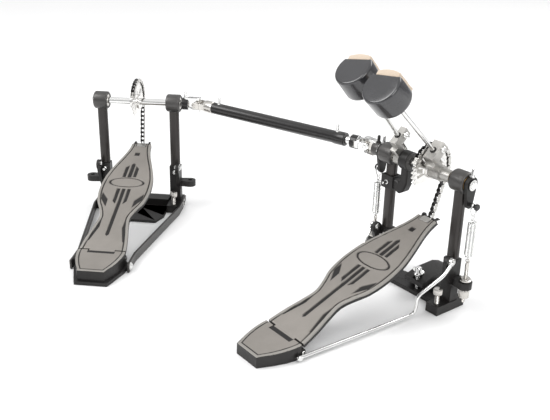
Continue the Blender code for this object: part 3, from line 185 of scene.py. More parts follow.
def ring_profile(inner, outer, low, high, rounding):
    """Closed profile of a ring whose four rims are arcs of radius rounding."""
    arc = np.linspace(0.0, np.pi / 2, 5)
    corners = [(outer - rounding, low + rounding, -np.pi / 2), (outer - rounding, high - rounding, 0.0),
               (inner + rounding, high - rounding, np.pi / 2), (inner + rounding, low + rounding, np.pi)]
    rows = [np.column_stack([r + rounding * np.cos(start + arc), a + rounding * np.sin(start + arc)])
            for r, a, start in corners]
    rows = np.vstack(rows)
    return np.vstack([rows, rows[:1]])


def rod_profile(radius, low, high, chamfer=0.6):
    """Profile of a rod from low to high with both ends chamfered."""
    return [(radius - chamfer, low), (radius, low + chamfer), (radius, high - chamfer),
            (radius - chamfer, high)]


def thread_profile(radius, low, high, pitch=0.9, depth=0.28):
    """Profile of a screw thread: the radius falls by depth halfway through each pitch."""
    count = 2 * int((high - low) / pitch) + 1
    along = np.linspace(low, high, count)
    radii = radius - depth * (np.arange(count) % 2)
    return np.column_stack([radii, along])


def sweep(path, radius, normals, sides=16):
    """Tube: at each path point a circle in the plane of the normal and its binormal.

    The binormal is the tangent crossed with the normal, and both ends close on their centres."""
    path = np.asarray(path, float)
    tangents = unit(np.gradient(path, axis=0))
    normals = np.broadcast_to(np.asarray(normals, float), path.shape)
    normals = unit(normals - tangents * np.sum(normals * tangents, axis=1, keepdims=True))
    binormals = np.cross(tangents, normals)
    radii = np.broadcast_to(radius, len(path))[:, None, None]
    angle = np.arange(sides) * TAU / sides
    loops = (path[:, None] + radii * (np.cos(angle)[None, :, None] * normals[:, None]
                                      + np.sin(angle)[None, :, None] * binormals[:, None]))
    start = np.repeat(path[:1], sides, axis=0)[None]
    end = np.repeat(path[-1:], sides, axis=0)[None]
    rows = np.concatenate([start, loops, end])
    return rows.reshape(-1, 3), grid_faces(len(rows), sides, wrap=True)


def loop_tube(path, radius, normals, sides=12):
    """Closed tube round a closed path, with the same circles as sweep and no ends."""
    path = np.asarray(path, float)
    tangents = unit(np.roll(path, -1, axis=0) - np.roll(path, 1, axis=0))
    normals = np.broadcast_to(np.asarray(normals, float), path.shape)
    normals = unit(normals - tangents * np.sum(normals * tangents, axis=1, keepdims=True))
    binormals = np.cross(tangents, normals)
    angle = np.arange(sides) * TAU / sides
    loops = (path[:, None] + radius * (np.cos(angle)[None, :, None] * normals[:, None]
                                       + np.sin(angle)[None, :, None] * binormals[:, None]))
    loops = np.concatenate([loops, loops[:1]])
    return loops.reshape(-1, 3), grid_faces(len(loops), sides, wrap=True)


def rounded_path(corners, radius, steps=6, closed=False):
    """Polyline with each corner replaced by a quadratic curve that starts radius before it."""
    corners = np.asarray(corners, float)
    before = np.roll(corners, 1, axis=0)
    after = np.roll(corners, -1, axis=0)
    reach_in = np.minimum(radius, 0.45 * np.linalg.norm(before - corners, axis=1))[:, None]
    reach_out = np.minimum(radius, 0.45 * np.linalg.norm(after - corners, axis=1))[:, None]
    start = corners + unit(before - corners) * reach_in
    end = corners + unit(after - corners) * reach_out
    t = np.linspace(0.0, 1.0, steps)[:, None, None]
    curves = (1 - t) ** 2 * start + 2 * t * (1 - t) * corners + t ** 2 * end
    curves = curves.transpose(1, 0, 2)
    if closed:
        return curves.reshape(-1, corners.shape[1])
    return np.vstack([corners[:1], curves[1:-1].reshape(-1, corners.shape[1]), corners[-1:]])


def slab(outline, low, high, along="z"):
    """A closed outline carried straight from low to high, with a flat cap at each end.

    The outline is (x, y) along z, (x, z) along y or (y, z) along x."""
    outline = np.asarray(outline, float)
    order = {"z": (0, 1, 2), "y": (0, 2, 1), "x": (1, 2, 0)}[along]
    count = len(outline)
    points = np.zeros((2 * count, 3))
    points[:, order[0]] = np.tile(outline[:, 0], 2)
    points[:, order[1]] = np.tile(outline[:, 1], 2)
    points[:, order[2]] = np.repeat([low, high], count)
    faces = grid_faces(2, count, wrap=True)
    return points, faces + [list(range(count)), list(range(count, 2 * count))]


def block(low, high):
    """Straight-sided block between two corners."""
    return slab([(low[0], low[1]), (high[0], low[1]), (high[0], high[1]), (low[0], high[1])],
                low[2], high[2])


def turned_to(shape, centre, x_axis, y_axis, z_axis):
    """The shape with its own axes laid along three others, about a centre."""
    points, faces = shape
    return points @ np.array([x_axis, y_axis, z_axis], float) + np.asarray(centre, float), faces


def arc_points(centre, radius, start, end, count):
    """Points of an arc; the angles are degrees."""
    angle = np.radians(np.linspace(start, end, count))
    return np.column_stack([centre[0] + radius * np.cos(angle), centre[1] + radius * np.sin(angle)])


def smooth_through(stations, at):
    """Catmull-Rom curve through (place, value) stations, read at the given places.

    Between two stations the value is 0.5 * (2b + (c - a)t + (2a - 5b + 4c - d)t^2
    + (3b - a - 3c + d)t^3), where a, b, c, d are the four nearest values."""
    places = np.array([station[0] for station in stations])
    values = np.array([station[1] for station in stations])
    index = np.clip(np.searchsorted(places, at, side="right") - 1, 0, len(places) - 2)
    t = (at - places[index]) / (places[index + 1] - places[index])
    a = values[np.maximum(index - 1, 0)]
    b, c = values[index], values[index + 1]
    d = values[np.minimum(index + 2, len(values) - 1)]
    return 0.5 * (2 * b + (c - a) * t + (2 * a - 5 * b + 4 * c - d) * t ** 2
                  + (3 * b - a - 3 * c + d) * t ** 3)


def soft_step(value, edge, width):
    """0 well below edge, 1 well above it, and a smooth cubic across width."""
    t = np.clip((value - edge) / width + 0.5, 0.0, 1.0)
    return t * t * (3.0 - 2.0 * t)


def inside_polygon(x, y, corners):
    """Signed distance to a convex polygon, by its farthest side: negative inside."""
    corners = np.asarray(corners, float)
    edges = np.roll(corners, -1, axis=0) - corners
    area = np.sum(corners[:, 0] * np.roll(corners[:, 1], -1) - np.roll(corners[:, 0], -1) * corners[:, 1])
    outward = unit(np.column_stack([edges[:, 1], -edges[:, 0]])) * np.sign(area)
    reach = ((x[..., None] - corners[:, 0]) * outward[:, 0]
             + (y[..., None] - corners[:, 1]) * outward[:, 1])
    return reach.max(axis=-1)


# ---------------------------------------------------------------- materials

def new_material(name):
    """A material with its Principled shader and an Object coordinate source."""
    made = bpy.data.materials.new(name)
    made.use_nodes = True
    nodes = made.node_tree.nodes
    source = nodes.new("ShaderNodeTexCoord")
    return made, nodes, made.node_tree.links, nodes["Principled BSDF"], source.outputs["Object"]


def add_noise(nodes, links, source, scale, detail=4.0, roughness=0.55):
    """Noise texture on the given coordinates."""
    noise = nodes.new("ShaderNodeTexNoise")
    noise.inputs["Scale"].default_value = scale
    noise.inputs["Detail"].default_value = detail
    noise.inputs["Roughness"].default_value = roughness
    links.new(source, noise.inputs["Vector"])
    return noise.outputs["Fac"]


def add_ramp(nodes, links, source, low, high, start, end):
    """Colour ramp from start to end between two values."""
    ramp = nodes.new("ShaderNodeValToRGB")
    ramp.color_ramp.elements[0].position = low
    ramp.color_ramp.elements[1].position = high
    ramp.color_ramp.elements[0].color = (*start, 1.0)
    ramp.color_ramp.elements[1].color = (*end, 1.0)
    links.new(source, ramp.inputs["Fac"])
    return ramp.outputs["Color"]


def add_range(nodes, links, source, low, high, start, end):
    """A value carried from one range to another."""
    spread = nodes.new("ShaderNodeMapRange")
    for socket, value in (("From Min", low), ("From Max", high), ("To Min", start), ("To Max", end)):
        spread.inputs[socket].default_value = value
    links.new(source, spread.inputs["Value"])
    return spread.outputs["Result"]


def add_mix(nodes, links, factor, first, second):
    """Two colours blended by a factor."""
    mix = nodes.new("ShaderNodeMix")
    mix.data_type = "RGBA"
    links.new(factor, mix.inputs["Factor"])
    for socket, colour in ((6, first), (7, second)):
        if isinstance(colour, tuple):
            mix.inputs[socket].default_value = (*colour, 1.0)
        else:
            links.new(colour, mix.inputs[socket])
    return mix.outputs[2]


def add_bump(nodes, links, shader, height, strength, distance):
    """Bump from a height, in metres, into the shader's normal."""
    bump = nodes.new("ShaderNodeBump")
    bump.inputs["Strength"].default_value = strength
    bump.inputs["Distance"].default_value = distance
    links.new(height, bump.inputs["Height"])
    links.new(bump.outputs["Normal"], shader.inputs["Normal"])


def shades(colour, spread):
    """A colour made darker and lighter by spread."""
    return tuple(c * (1 - spread) for c in colour), tuple(min(1.0, c * (1 + spread)) for c in colour)


def coated_metal(name, colour, roughness, metallic, grain=700.0, relief=0.00012, spread=0.12, coat=0.0):
    """Painted, cast or plated metal: cloudy tone, uneven gloss and a fine surface texture."""
    made, nodes, links, shader, source = new_material(name)
    cloud = add_noise(nodes, links, source, 28.0, 5.0)
    dark, light = shades(colour, spread)
    links.new(add_ramp(nodes, links, cloud, 0.3, 0.7, dark, light), shader.inputs["Base Color"])
    fine = add_noise(nodes, links, source, grain, 3.0)
    links.new(add_range(nodes, links, fine, 0.3, 0.7, roughness * 0.85, roughness * 1.2),
              shader.inputs["Roughness"])
    shader.inputs["Metallic"].default_value = metallic
    shader.inputs["Coat Weight"].default_value = coat
    shader.inputs["Coat Roughness"].default_value = 0.15
    add_bump(nodes, links, shader, fine, 0.35, relief)
    return made


def tread_paint():
    """Board paint: warm grey panel, lighter rim, black in every recess, by the mesh's attributes."""
    made, nodes, links, shader, source = new_material("board_paint")
    recess = nodes.new("ShaderNodeAttribute")
    recess.attribute_name = "recess"
    rim = nodes.new("ShaderNodeAttribute")
    rim.attribute_name = "rim"
    cloud = add_noise(nodes, links, source, 16.0, 6.0, 0.6)
    panel = add_ramp(nodes, links, cloud, 0.25, 0.75, (0.205, 0.19, 0.172), (0.27, 0.25, 0.228))
    edge = add_ramp(nodes, links, cloud, 0.25, 0.75, (0.23, 0.218, 0.2), (0.31, 0.295, 0.272))
    grey = add_mix(nodes, links, rim.outputs["Fac"], panel, edge)
    colour = add_mix(nodes, links, recess.outputs["Fac"], grey, (0.012, 0.011, 0.0105))
    links.new(colour, shader.inputs["Base Color"])
    grain = add_noise(nodes, links, source, 1500.0, 2.0)
    links.new(add_range(nodes, links, grain, 0.3, 0.7, 0.36, 0.52), shader.inputs["Roughness"])
    shader.inputs["Metallic"].default_value = 0.25
    add_bump(nodes, links, shader, grain, 0.5, 0.00012)
    return made


def pressed_felt():
    """Beater felt: tan wool with fibre-scale colour and relief, and a soft sheen."""
    made, nodes, links, shader, source = new_material("pressed_felt")
    fibre = add_noise(nodes, links, source, 900.0, 6.0, 0.75)
    cloud = add_noise(nodes, links, source, 90.0, 4.0)
    tone = add_ramp(nodes, links, fibre, 0.3, 0.7, (0.40, 0.30, 0.21), (0.74, 0.62, 0.49))
    colour = add_mix(nodes, links, cloud, tone, (0.62, 0.50, 0.38))
    links.new(colour, shader.inputs["Base Color"])
    shader.inputs["Roughness"].default_value = 0.95
    shader.inputs["Sheen Weight"].default_value = 0.5
    shader.inputs["Sheen Roughness"].default_value = 0.6
    add_bump(nodes, links, shader, fibre, 0.9, 0.0006)
    return made


def moulded_plastic(name, colour, roughness, coat):
    """Moulded plastic: even colour, faint mould texture and a clear gloss."""
    made, nodes, links, shader, source = new_material(name)
    cloud = add_noise(nodes, links, source, 40.0, 4.0)
    dark, light = shades(colour, 0.15)
    links.new(add_ramp(nodes, links, cloud, 0.3, 0.7, dark, light), shader.inputs["Base Color"])
    scuff = add_noise(nodes, links, source, 260.0, 6.0, 0.7)
    links.new(add_range(nodes, links, scuff, 0.35, 0.75, roughness * 0.8, roughness * 1.35),
              shader.inputs["Roughness"])
    shader.inputs["Coat Weight"].default_value = coat
    shader.inputs["Coat Roughness"].default_value = 0.08
    add_bump(nodes, links, shader, scuff, 0.15, 0.0001)
    return made


CHROME = coated_metal("bright_chrome", (0.80, 0.80, 0.79), 0.10, 1.0, 500.0, 0.00002, 0.05)
NICKEL = coated_metal("satin_nickel", (0.62, 0.60, 0.57), 0.24, 1.0, 900.0, 0.00004, 0.12)
POLISHED = coated_metal("polished_casting", (0.78, 0.77, 0.75), 0.20, 1.0, 260.0, 0.00010, 0.10)
SATIN_CAST = coated_metal("satin_casting", (0.42, 0.41, 0.39), 0.36, 0.9, 700.0, 0.00010, 0.12)
POST_BLACK = coated_metal("bronze_black_coat", (0.030, 0.026, 0.024), 0.36, 0.45, 1100.0, 0.00010, 0.2, 0.2)
CAST_BLACK = coated_metal("black_casting", (0.016, 0.015, 0.0145), 0.42, 0.3, 600.0, 0.00018, 0.25)
COLLAR_GREY = coated_metal("collar_grey", (0.075, 0.072, 0.07), 0.38, 0.6, 700.0, 0.00012, 0.2, 0.15)
BAR_GREY = coated_metal("bar_grey", (0.06, 0.057, 0.055), 0.34, 0.6, 500.0, 0.0001, 0.2)
TUBE_BLACK = coated_metal("tube_black", (0.012, 0.011, 0.011), 0.30, 0.3, 1200.0, 0.00006, 0.2, 0.25)
CHAIN_BLACK = coated_metal("oiled_chain", (0.014, 0.013, 0.012), 0.30, 0.85, 800.0, 0.00008, 0.3, 0.3)
# Painted highlight: this bright finish goes on the chain's pins and on the outer plates of its lit +x side;
# the same plates on the other side stay black
CHAIN_PINS_AND_PAINTED_LIGHT = coated_metal("chain_pins_and_painted_light_plates", (0.55, 0.54, 0.52), 0.22, 1.0, 700.0, 0.00005, 0.15)
BRONZE = coated_metal("bearing_bronze", (0.42, 0.26, 0.11), 0.30, 1.0, 600.0, 0.00008, 0.2)
BOARD_PAINT = tread_paint()
FELT = pressed_felt()
HEAD_PLASTIC = moulded_plastic("beater_plastic", (0.028, 0.028, 0.031), 0.16, 0.6)
BLACK_PLASTIC = moulded_plastic("black_plastic", (0.012, 0.012, 0.012), 0.35, 0.1)


# ---------------------------------------------------------------- pieces

def settled_mesh(mesh, smooth, merge=1e-7):
    """Merges doubled corners, turns every face outwards and shades curved parts smooth."""
    shape = bmesh.new()
    shape.from_mesh(mesh)
    bmesh.ops.remove_doubles(shape, verts=shape.verts, dist=merge)
    bmesh.ops.dissolve_degenerate(shape, edges=shape.edges, dist=merge)
    bmesh.ops.recalc_face_normals(shape, faces=shape.faces)
    shape.to_mesh(mesh)
    shape.free()
    mesh.shade_smooth()
    mesh.set_sharp_from_angle(angle=radians(smooth))


def rounded_edges(made, width, segments=2):
    """Bevel on every sharp edge, width in millimetres."""
    bevel = made.modifiers.new("rounded_edges", "BEVEL")
    bevel.width = width * MM
    bevel.segments = segments
    bevel.limit_method = "ANGLE"
    bevel.angle_limit = radians(32)
    bevel.harden_normals = True


def piece(name, shape, body, finish, place=DRUM, stands_for=(), bevel=0.0, smooth=34.0):
    """One finished piece, riding its body if it has one; stands_for names the frame nodes replaced."""
    points, faces = shape
    turn, origin = place
    mesh = bpy.data.meshes.new(name)
    mesh.from_pydata(((points @ turn.T + origin) * MM).tolist(), [], faces)
    settled_mesh(mesh, smooth)
    mesh.materials.append(finish)
    made = bpy.data.objects.new(name, mesh)
    bpy.context.scene.collection.objects.link(made)
    if bevel:
        rounded_edges(made, bevel)
    if body:
        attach(made, body)
    if stands_for:
        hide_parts(*stands_for)
    return made


def refined(node, body, finish, bevel=0.8, reshape=None):
    """Copy of a frame node with merged corners, whole flat faces and rounded edges.

    Reshape, where given, moves the array of corner points, in metres."""
    mesh = frame["nodes"][node].data.copy()
    mesh.materials.clear()
    shape = bmesh.new()
    shape.from_mesh(mesh)
    bmesh.ops.remove_doubles(shape, verts=shape.verts, dist=1e-6)
    bmesh.ops.dissolve_limit(shape, angle_limit=radians(1.0), verts=shape.verts, edges=shape.edges)
    shape.to_mesh(mesh)
    shape.free()
    if reshape:
        points = np.zeros(len(mesh.vertices) * 3)
        mesh.vertices.foreach_get("co", points)
        mesh.vertices.foreach_set("co", reshape(points.reshape(-1, 3)).ravel())
    mesh.shade_smooth()
    mesh.set_sharp_from_angle(angle=radians(34))
    mesh.materials.append(finish)
    made = bpy.data.objects.new(node + "_finished", mesh)
    bpy.context.scene.collection.objects.link(made)
    if bevel:
        rounded_edges(made, bevel)
    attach(made, body)
    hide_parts(node)
    return made


# ---------------------------------------------------------------- footboards and heels

BOARD_SLOTS = [
    [(-11.0, 159.0), (-6.0, 159.0), (-6.0, 188.0), (-11.0, 183.0)],
    [(-3.0, 159.0), (2.6, 159.0), (2.6, 191.0), (-0.2, 194.0), (-3.0, 191.0)],
    [(5.0, 160.0), (10.0, 160.0), (10.0, 181.0), (5.0, 187.0)],
    [(-12.0, 132.0), (-7.0, 132.0), (-7.0, 97.0), (-12.0, 103.0)],
    [(-4.0, 132.0), (1.0, 132.0), (1.0, 31.0), (-1.5, 28.0), (-4.0, 31.0)],
    [(4.2, 132.0), (9.0, 132.0), (9.0, 103.0), (4.2, 97.0)],
    [(-4.8, 213.2), (2.8, 213.2), (2.8, 220.8), (-4.8, 220.8)],
    [(-31.5, 122.0), (-20.0, 106.0), (-19.5, 90.0), (-31.0, 108.0)],
    [(31.5, 122.0), (20.0, 106.0), (19.5, 90.0), (31.0, 108.0)],
    [(-26.5, 17.0), (-24.0, 17.0), (-16.5, 46.0), (-17.5, 66.0)],
    [(26.5, 17.0), (24.0, 17.0), (16.5, 46.0), (17.5, 66.0)],
]
BADGE_CENTRE = (-1.0, 146.5)
BADGE_HALF = (25.6, 10.4)
RIM_WIDTH = 4.6
GROOVE_HALF = 0.75
RELIEF_DEPTH = 1.5
TREAD_TOP = 0.35
TREAD_BASE = -2.2


def board_half_width(s):
    """Half width of the board at s from its hinge end; the tongue lies at negative s."""
    return np.where(s < 0.0, TONGUE_HALF, smooth_through(BOARD_OUTLINE, np.maximum(s, 0.0)))


def recess_amount(edge_distance, x, s, shapes):
    """1 in the rim groove and in every slot, 0 on the panel and the rim."""
    amount = 1.0 - soft_step(np.abs(edge_distance - RIM_WIDTH), GROOVE_HALF, 0.5)
    for corners in shapes:
        amount = np.maximum(amount, 1.0 - soft_step(inside_polygon(x, s, corners), 0.0, 0.9))
    return amount


def badge_amount(x, s):
    """1 on the thin groove round the bare oval, 0 elsewhere."""
    reach = np.hypot((x - BADGE_CENTRE[0]) / BADGE_HALF[0], (s - BADGE_CENTRE[1]) / BADGE_HALF[1])
    distance = (reach - 1.0) * BADGE_HALF[1] / np.maximum(reach, 0.4) ** 0.3
    return 1.0 - soft_step(np.abs(distance), 0.7, 0.5)


def relief_sheet(x, s, height, low, lift):
    """Closed plate over a grid: the top row by row, then its mirror image at the height low.

    Lift turns (x, s, height) arrays into points."""
    top = lift(x, s, height)
    under = lift(x, s, np.full_like(height, low))
    rows, columns = x.shape
    ring = np.concatenate([top, under[:, ::-1]], axis=1)
    shell = grid_faces(rows, 2 * columns, wrap=True)
    points = ring.reshape(-1, 3)
    ends = []
    for row in (0, rows - 1):
        base = row * 2 * columns
        left = np.arange(columns - 1)
        ends += np.stack([base + left, base + left + 1, base + 2 * columns - 2 - left,
                          base + 2 * columns - 1 - left], axis=-1).tolist()
    return points, shell + ends


def slope_frame(hinge_joint, toe_joint):
    """Origin and unit vectors of a footboard's top plane, in world millimetres.

    The hinge and toe pins are known points of the board: the plane's angle is that of the line
    between them, less the angle that the same line makes in the board's own plane."""
    hinge = np.array(JOINTS[hinge_joint]["pos_m"]) / MM
    toe = np.array(JOINTS[toe_joint]["pos_m"]) / MM
    across = unit(-np.array(JOINTS[hinge_joint]["axis"]))
    level = np.cross([0.0, 0.0, 1.0], across)
    run, rise = np.dot(toe - hinge, level), toe[2] - hinge[2]
    top_z = hinge[2] + HINGE_DEPTH
    reach, drop = TOE_PIN
    angle = np.arctan2(rise - HINGE_DEPTH, run) - np.arctan2(drop, reach)
    along = level * np.cos(angle) + np.array([0.0, 0.0, 1.0]) * np.sin(angle)
    outward = np.cross(across, along)
    origin = np.array([hinge[0], hinge[1], top_z])
    return origin, across, along, outward


def paint_attribute(made, name, values):
    """One value for each point, which the board paint reads by name."""
    attribute = made.data.attributes.new(name, "FLOAT", "POINT")
    attribute.data.foreach_set("value", values.astype(np.float32))


def add_paint_masks(made, points_mm, plane, masks):
    """Point attributes recess and rim, worked out from each point's place on the board."""
    origin, across, along, outward = plane
    local = points_mm - origin
    x, s, n = local @ across, local @ along, local @ outward
    for name, values in zip(("recess", "rim"), masks(x, s, n)):
        paint_attribute(made, name, values)


def mesh_points(made):
    """Array of a piece's corner points, in millimetres."""
    points = np.zeros(len(made.data.vertices) * 3)
    made.data.vertices.foreach_get("co", points)
    return points.reshape(-1, 3) / MM


def board_masks(x, s, n):
    """Recess from the same relief as the shape; rim between the board's edge and its groove."""
    edge = board_half_width(s) - np.abs(x)
    edge = np.where(s < 0.0, 50.0, edge)
    recess = np.maximum(recess_amount(edge, x, s, BOARD_SLOTS), badge_amount(x, s))
    recess = np.where((n < TREAD_TOP - RELIEF_DEPTH - 0.4), np.where(edge < 0.6, 0.0, 1.0), recess)
    return recess, 1.0 - soft_step(edge, RIM_WIDTH, 0.5)


def board_tread(name, hinge_joint, toe_joint, body):
    """Relief of a footboard's top: height = top - depth * recess on a grid of (u, s)."""
    plane = slope_frame(hinge_joint, toe_joint)
    origin, across, along, outward = plane

    def lift(x, s, n):
        return origin + x[..., None] * across + s[..., None] * along + n[..., None] * outward

    sheets = []
    for start, end, rows, columns in ((0.6, BOARD_LENGTH - 0.3, 330, 96), (-TONGUE_LENGTH, 1.2, 12, 40)):
        s = np.linspace(start, end, rows)[:, None]
        u = np.linspace(-1.0, 1.0, columns)[None, :]
        half = board_half_width(np.full_like(s, -1.0) if start < 0 else s)
        x, s = u * half, np.broadcast_to(s, (rows, columns))
        edge = half - np.abs(x) if start > 0 else np.full_like(x, 50.0)
        recess = np.maximum(recess_amount(edge, x, s, BOARD_SLOTS), badge_amount(x, s))
        shoulder = 0.5 * (1.0 - soft_step(edge, 0.4, 0.8)) + 0.5 * (1.0 - soft_step(s, start + 0.3, 0.6))
        notch = (np.abs(x) < 8.2) & (s > BOARD_LENGTH - 7.2)
        height = TREAD_TOP - RELIEF_DEPTH * recess - shoulder
        height = np.where(notch, TREAD_BASE + 0.15, height)
        sheets.append(relief_sheet(x, s, height, TREAD_BASE, lift))
    points, faces = together(*sheets)
    made = piece(name, (points, faces), body, BOARD_PAINT, smooth=40)
    add_paint_masks(made, mesh_points(made), plane, board_masks)
    return plane


def lowered_top(plane, depth):
    """Moves corners on a board's top skin down by depth, so that the relief can lie over them."""
    origin, _, along, outward = plane

    def reshape(points):
        n = (points / MM - origin) @ outward
        s = (points / MM - origin) @ along
        down = np.where((n > -0.6) & (s < BOARD_LENGTH + 0.5), depth, 0.0)
        return points - down[:, None] * outward * MM

    return reshape


def heel_tread(name, hinge_joint, toe_joint, body):
    """Relief of a heel block's top: rim, groove and panel, cut away under the board's tongue."""
    origin, across, _, _ = slope_frame(hinge_joint, toe_joint)
    level = np.cross([0.0, 0.0, 1.0], across)
    rows, columns = 110, 110
    back = np.linspace(2.6, HEEL_LENGTH - 0.2, rows)[:, None]
    u = np.linspace(-1.0, 1.0, columns)[None, :]
    half = smooth_through(HEEL_OUTLINE, back)
    x, back = u * half, np.broadcast_to(back, (rows, columns))
    edge = np.minimum(half - np.abs(x), HEEL_LENGTH - back)
    groove = 1.0 - soft_step(np.abs(edge - RIM_WIDTH), GROOVE_HALF, 0.5)
    seat = ((1.0 - soft_step(np.abs(x), TONGUE_HALF + 0.7, 0.3))
            * (1.0 - soft_step(back, TONGUE_LENGTH + 0.7, 0.3)))
    shoulder = 0.6 * (1.0 - soft_step(edge, 0.4, 0.8))
    height = 0.45 - 0.9 * groove - shoulder - 3.6 * seat
    slope = -HEEL_DROP * back / HEEL_LENGTH

    def lift(x, back, n):
        return (origin + x[..., None] * across - back[..., None] * level
                + (n + slope)[..., None] * np.array([0.0, 0.0, 1.0]))

    points, faces = relief_sheet(x, back, height, -0.4, lift)
    made = piece(name, (points, faces), body, BOARD_PAINT, smooth=40)
    masks = np.stack([np.maximum(groove, seat), 1.0 - soft_step(edge, RIM_WIDTH, 0.5)])
    local = mesh_points(made) - origin
    lx, lb = local @ across, -(local @ level)
    column = np.clip(np.round((lx / np.maximum(smooth_through(HEEL_OUTLINE, np.clip(lb, 2.6, 55.8)), 1) + 1)
                              / 2 * (columns - 1)), 0, columns - 1).astype(int)
    row = np.clip(np.round((lb - 2.6) / (HEEL_LENGTH - 2.8) * (rows - 1)), 0, rows - 1).astype(int)
    for attribute_name, values in zip(("recess", "rim"), masks):
        paint_attribute(made, attribute_name, values[row, column])


def toe_cover(name, plane, body):
    """Bright plate over the chain's end: a rounded block lying on the board's toe."""
    origin, across, along, outward = plane
    plate = slab([(-7.2, 236.6), (7.2, 236.6), (7.2, 243.5), (5.6, 245.6), (-5.6, 245.6), (-7.2, 243.5)],
                 -3.6, 0.9)
    points, faces = plate
    shape = (origin + points[:, :1] * across + points[:, 1:2] * along + points[:, 2:] * outward, faces)
    piece(name, shape, body, SATIN_CAST, bevel=0.5)
    pins = []
    for side in (-1, 1):
        end = origin + across * side * 13.4 + along * TOE_PIN[0] + outward * TOE_PIN[1]
        pins.append(lathe(rod_profile(3.0, -0.6, 1.0, 0.5), end, across * side, 32))
    piece(name + "_pin_heads", together(*pins), body, CHROME)


def footboard_set(prefix, hinge_joint, toe_joint):
    """Board, relief, toe cover, heel block and hinge pin of one pedal."""
    body = prefix + "footboard"
    frame_body = "outrigger_frame" if prefix else "drum_frame"
    plane = board_tread(prefix + "board_tread", hinge_joint, toe_joint, body)
    refined(body, body, CAST_BLACK, 0.5, lowered_top(plane, 2.0))
    toe_cover(prefix + "toe_cover", plane, body)
    refined(prefix + "heel_block", frame_body, CAST_BLACK, 0.7)
    heel_tread(prefix + "heel_tread", hinge_joint, toe_joint, frame_body)
    refined(prefix + "heel_hinge_pin", frame_body, CHROME, 0.0)


# ---------------------------------------------------------------- posts and feet

def superellipse(half_x, half_y, centre_x=0.0, count=64):
    """Rounded rectangle: each coordinate is its half width times |cos| or |sin| to the 0.75."""
    angle = np.arange(count) * TAU / count
    c, s = np.cos(angle), np.sin(angle)
    return np.column_stack([centre_x + half_x * np.sign(c) * np.abs(c) ** 0.75,
                            half_y * np.sign(s) * np.abs(s) ** 0.75])


def key_screw(base, up, size=1.0, height=9.0):
    """Square-headed clamping screw: washer, waisted neck and a square head with a domed end."""
    disc = lathe([(3.4 * size, -0.4), (3.4 * size, 1.0), (2.2 * size, 1.6), (2.0 * size, 3.0)], base, up, 32)
    first, second = square_axes(up, (0.3, 1.0, 0.2))
    half = 1.9 * size
    outline = superellipse(half, half, 0.0, 24) * 1.08
    head, faces = slab(outline, 2.6, height)
    head = np.asarray(base, float) + head[:, :1] * first + head[:, 1:2] * second + head[:, 2:] * unit(up)
    dome = lathe([(1.6 * size, height), (1.2 * size, height + 0.7), (0.0, height + 1.0)], base, up, 24)
    return together(disc, (head, faces), dome)


def hex_bolt(base, up, across=4.2, height=3.6):
    """Hexagon head with chamfered corners on a washer."""
    washer = lathe([(across + 1.2, 0.0), (across + 1.2, 0.7), (across * 0.7, 0.8)], base, up, 32)
    head = lathe([(across, 0.6), (across, height - 0.5), (across - 0.7, height), (0.0, height)], base, up, 6)
    return together(washer, head)


def post_set(name, x, collar_x, body, place, open_side):
    """Oval upright, rounded bearing collar and the bronze bearing that shows at its open side."""
    upright = slab(superellipse(*POST_HALF, x), FOOT_TOP + 0.3, POST_TOP + 1.0)
    centre = (collar_x, 0.0, AXLE_Z)
    collar = lathe(ring_profile(9.2, COLLAR_RADIUS, -COLLAR_HALF, COLLAR_HALF, 2.6), centre, (1, 0, 0), 64)
    piece(name + "_upright", upright, body, POST_BLACK, place, (name,), bevel=0.4)
    piece(name + "_collar", collar, body, COLLAR_GREY, place)
    races = []
    for side in (-1, 1):
        races.append(lathe(ring_profile(AXLE_RADIUS + 0.3, 9.3, 0.0, 3.0, 0.5),
                           (collar_x + side * (COLLAR_HALF - 0.9), 0, AXLE_Z), (-side, 0, 0), 48))
    piece(name + "_bearing", together(*races), body, BRONZE if open_side else NICKEL, place)


def foot_set(prefix, side, body, place):
    """Cast foot with its ear bolt."""
    refined(prefix + "foot", body, CAST_BLACK, 1.2)
    ear_face = side * (POST_X + 9.0)
    bolt = hex_bolt((ear_face, -15.0, 72.0), (side, 0, 0), 4.0, 3.0)
    inner = hex_bolt((side * (POST_X + 4.0), -15.0, 72.0), (-side, 0, 0), 3.2, 2.4)
    clamp = key_screw((side * POST_X, -7.0, 61.0), (0, -1, 0), 0.9, 6.0)
    piece(prefix + "ear_bolt", together(bolt, inner, clamp), body, CHROME, place)


def anchor_set(prefix, side, body, place):
    """Floor spike: pointed thread under a knurled head with a slotted top."""
    centre = (side * POST_X, -21.0, 0.0)
    thread = np.vstack([[(0.0, 1.0), (2.4, 5.0)], thread_profile(3.2, 5.6, 25.0)])
    head = [(3.2, 24.5), (5.0, 24.6), (5.4, 25.4), (5.4, 31.0), (4.6, 32.6), (3.0, 33.0), (0.0, 33.0)]
    shape = together(lathe(thread, centre, (0, 0, 1), 24),
                     lathe(head, centre, (0, 0, 1), 96, (32, 0.035)))
    piece(prefix + "anchor_screw_finished", shape, body, NICKEL, place, (prefix + "anchor_screw",))


# ---------------------------------------------------------------- chain drive

def link_outline(pitch, radius=2.9, waist=2.0, count=9):
    """Figure-eight plate seen from the side: two arcs round the pins joined by a narrow waist."""
    right = arc_points((pitch, 0.0), radius, -125, 125, count)
    left = arc_points((0.0, 0.0), radius, 55, 305, count)
    middle = np.array([[pitch / 2, waist]])
    return np.vstack([right, middle, left, -middle * [-1, 1]])


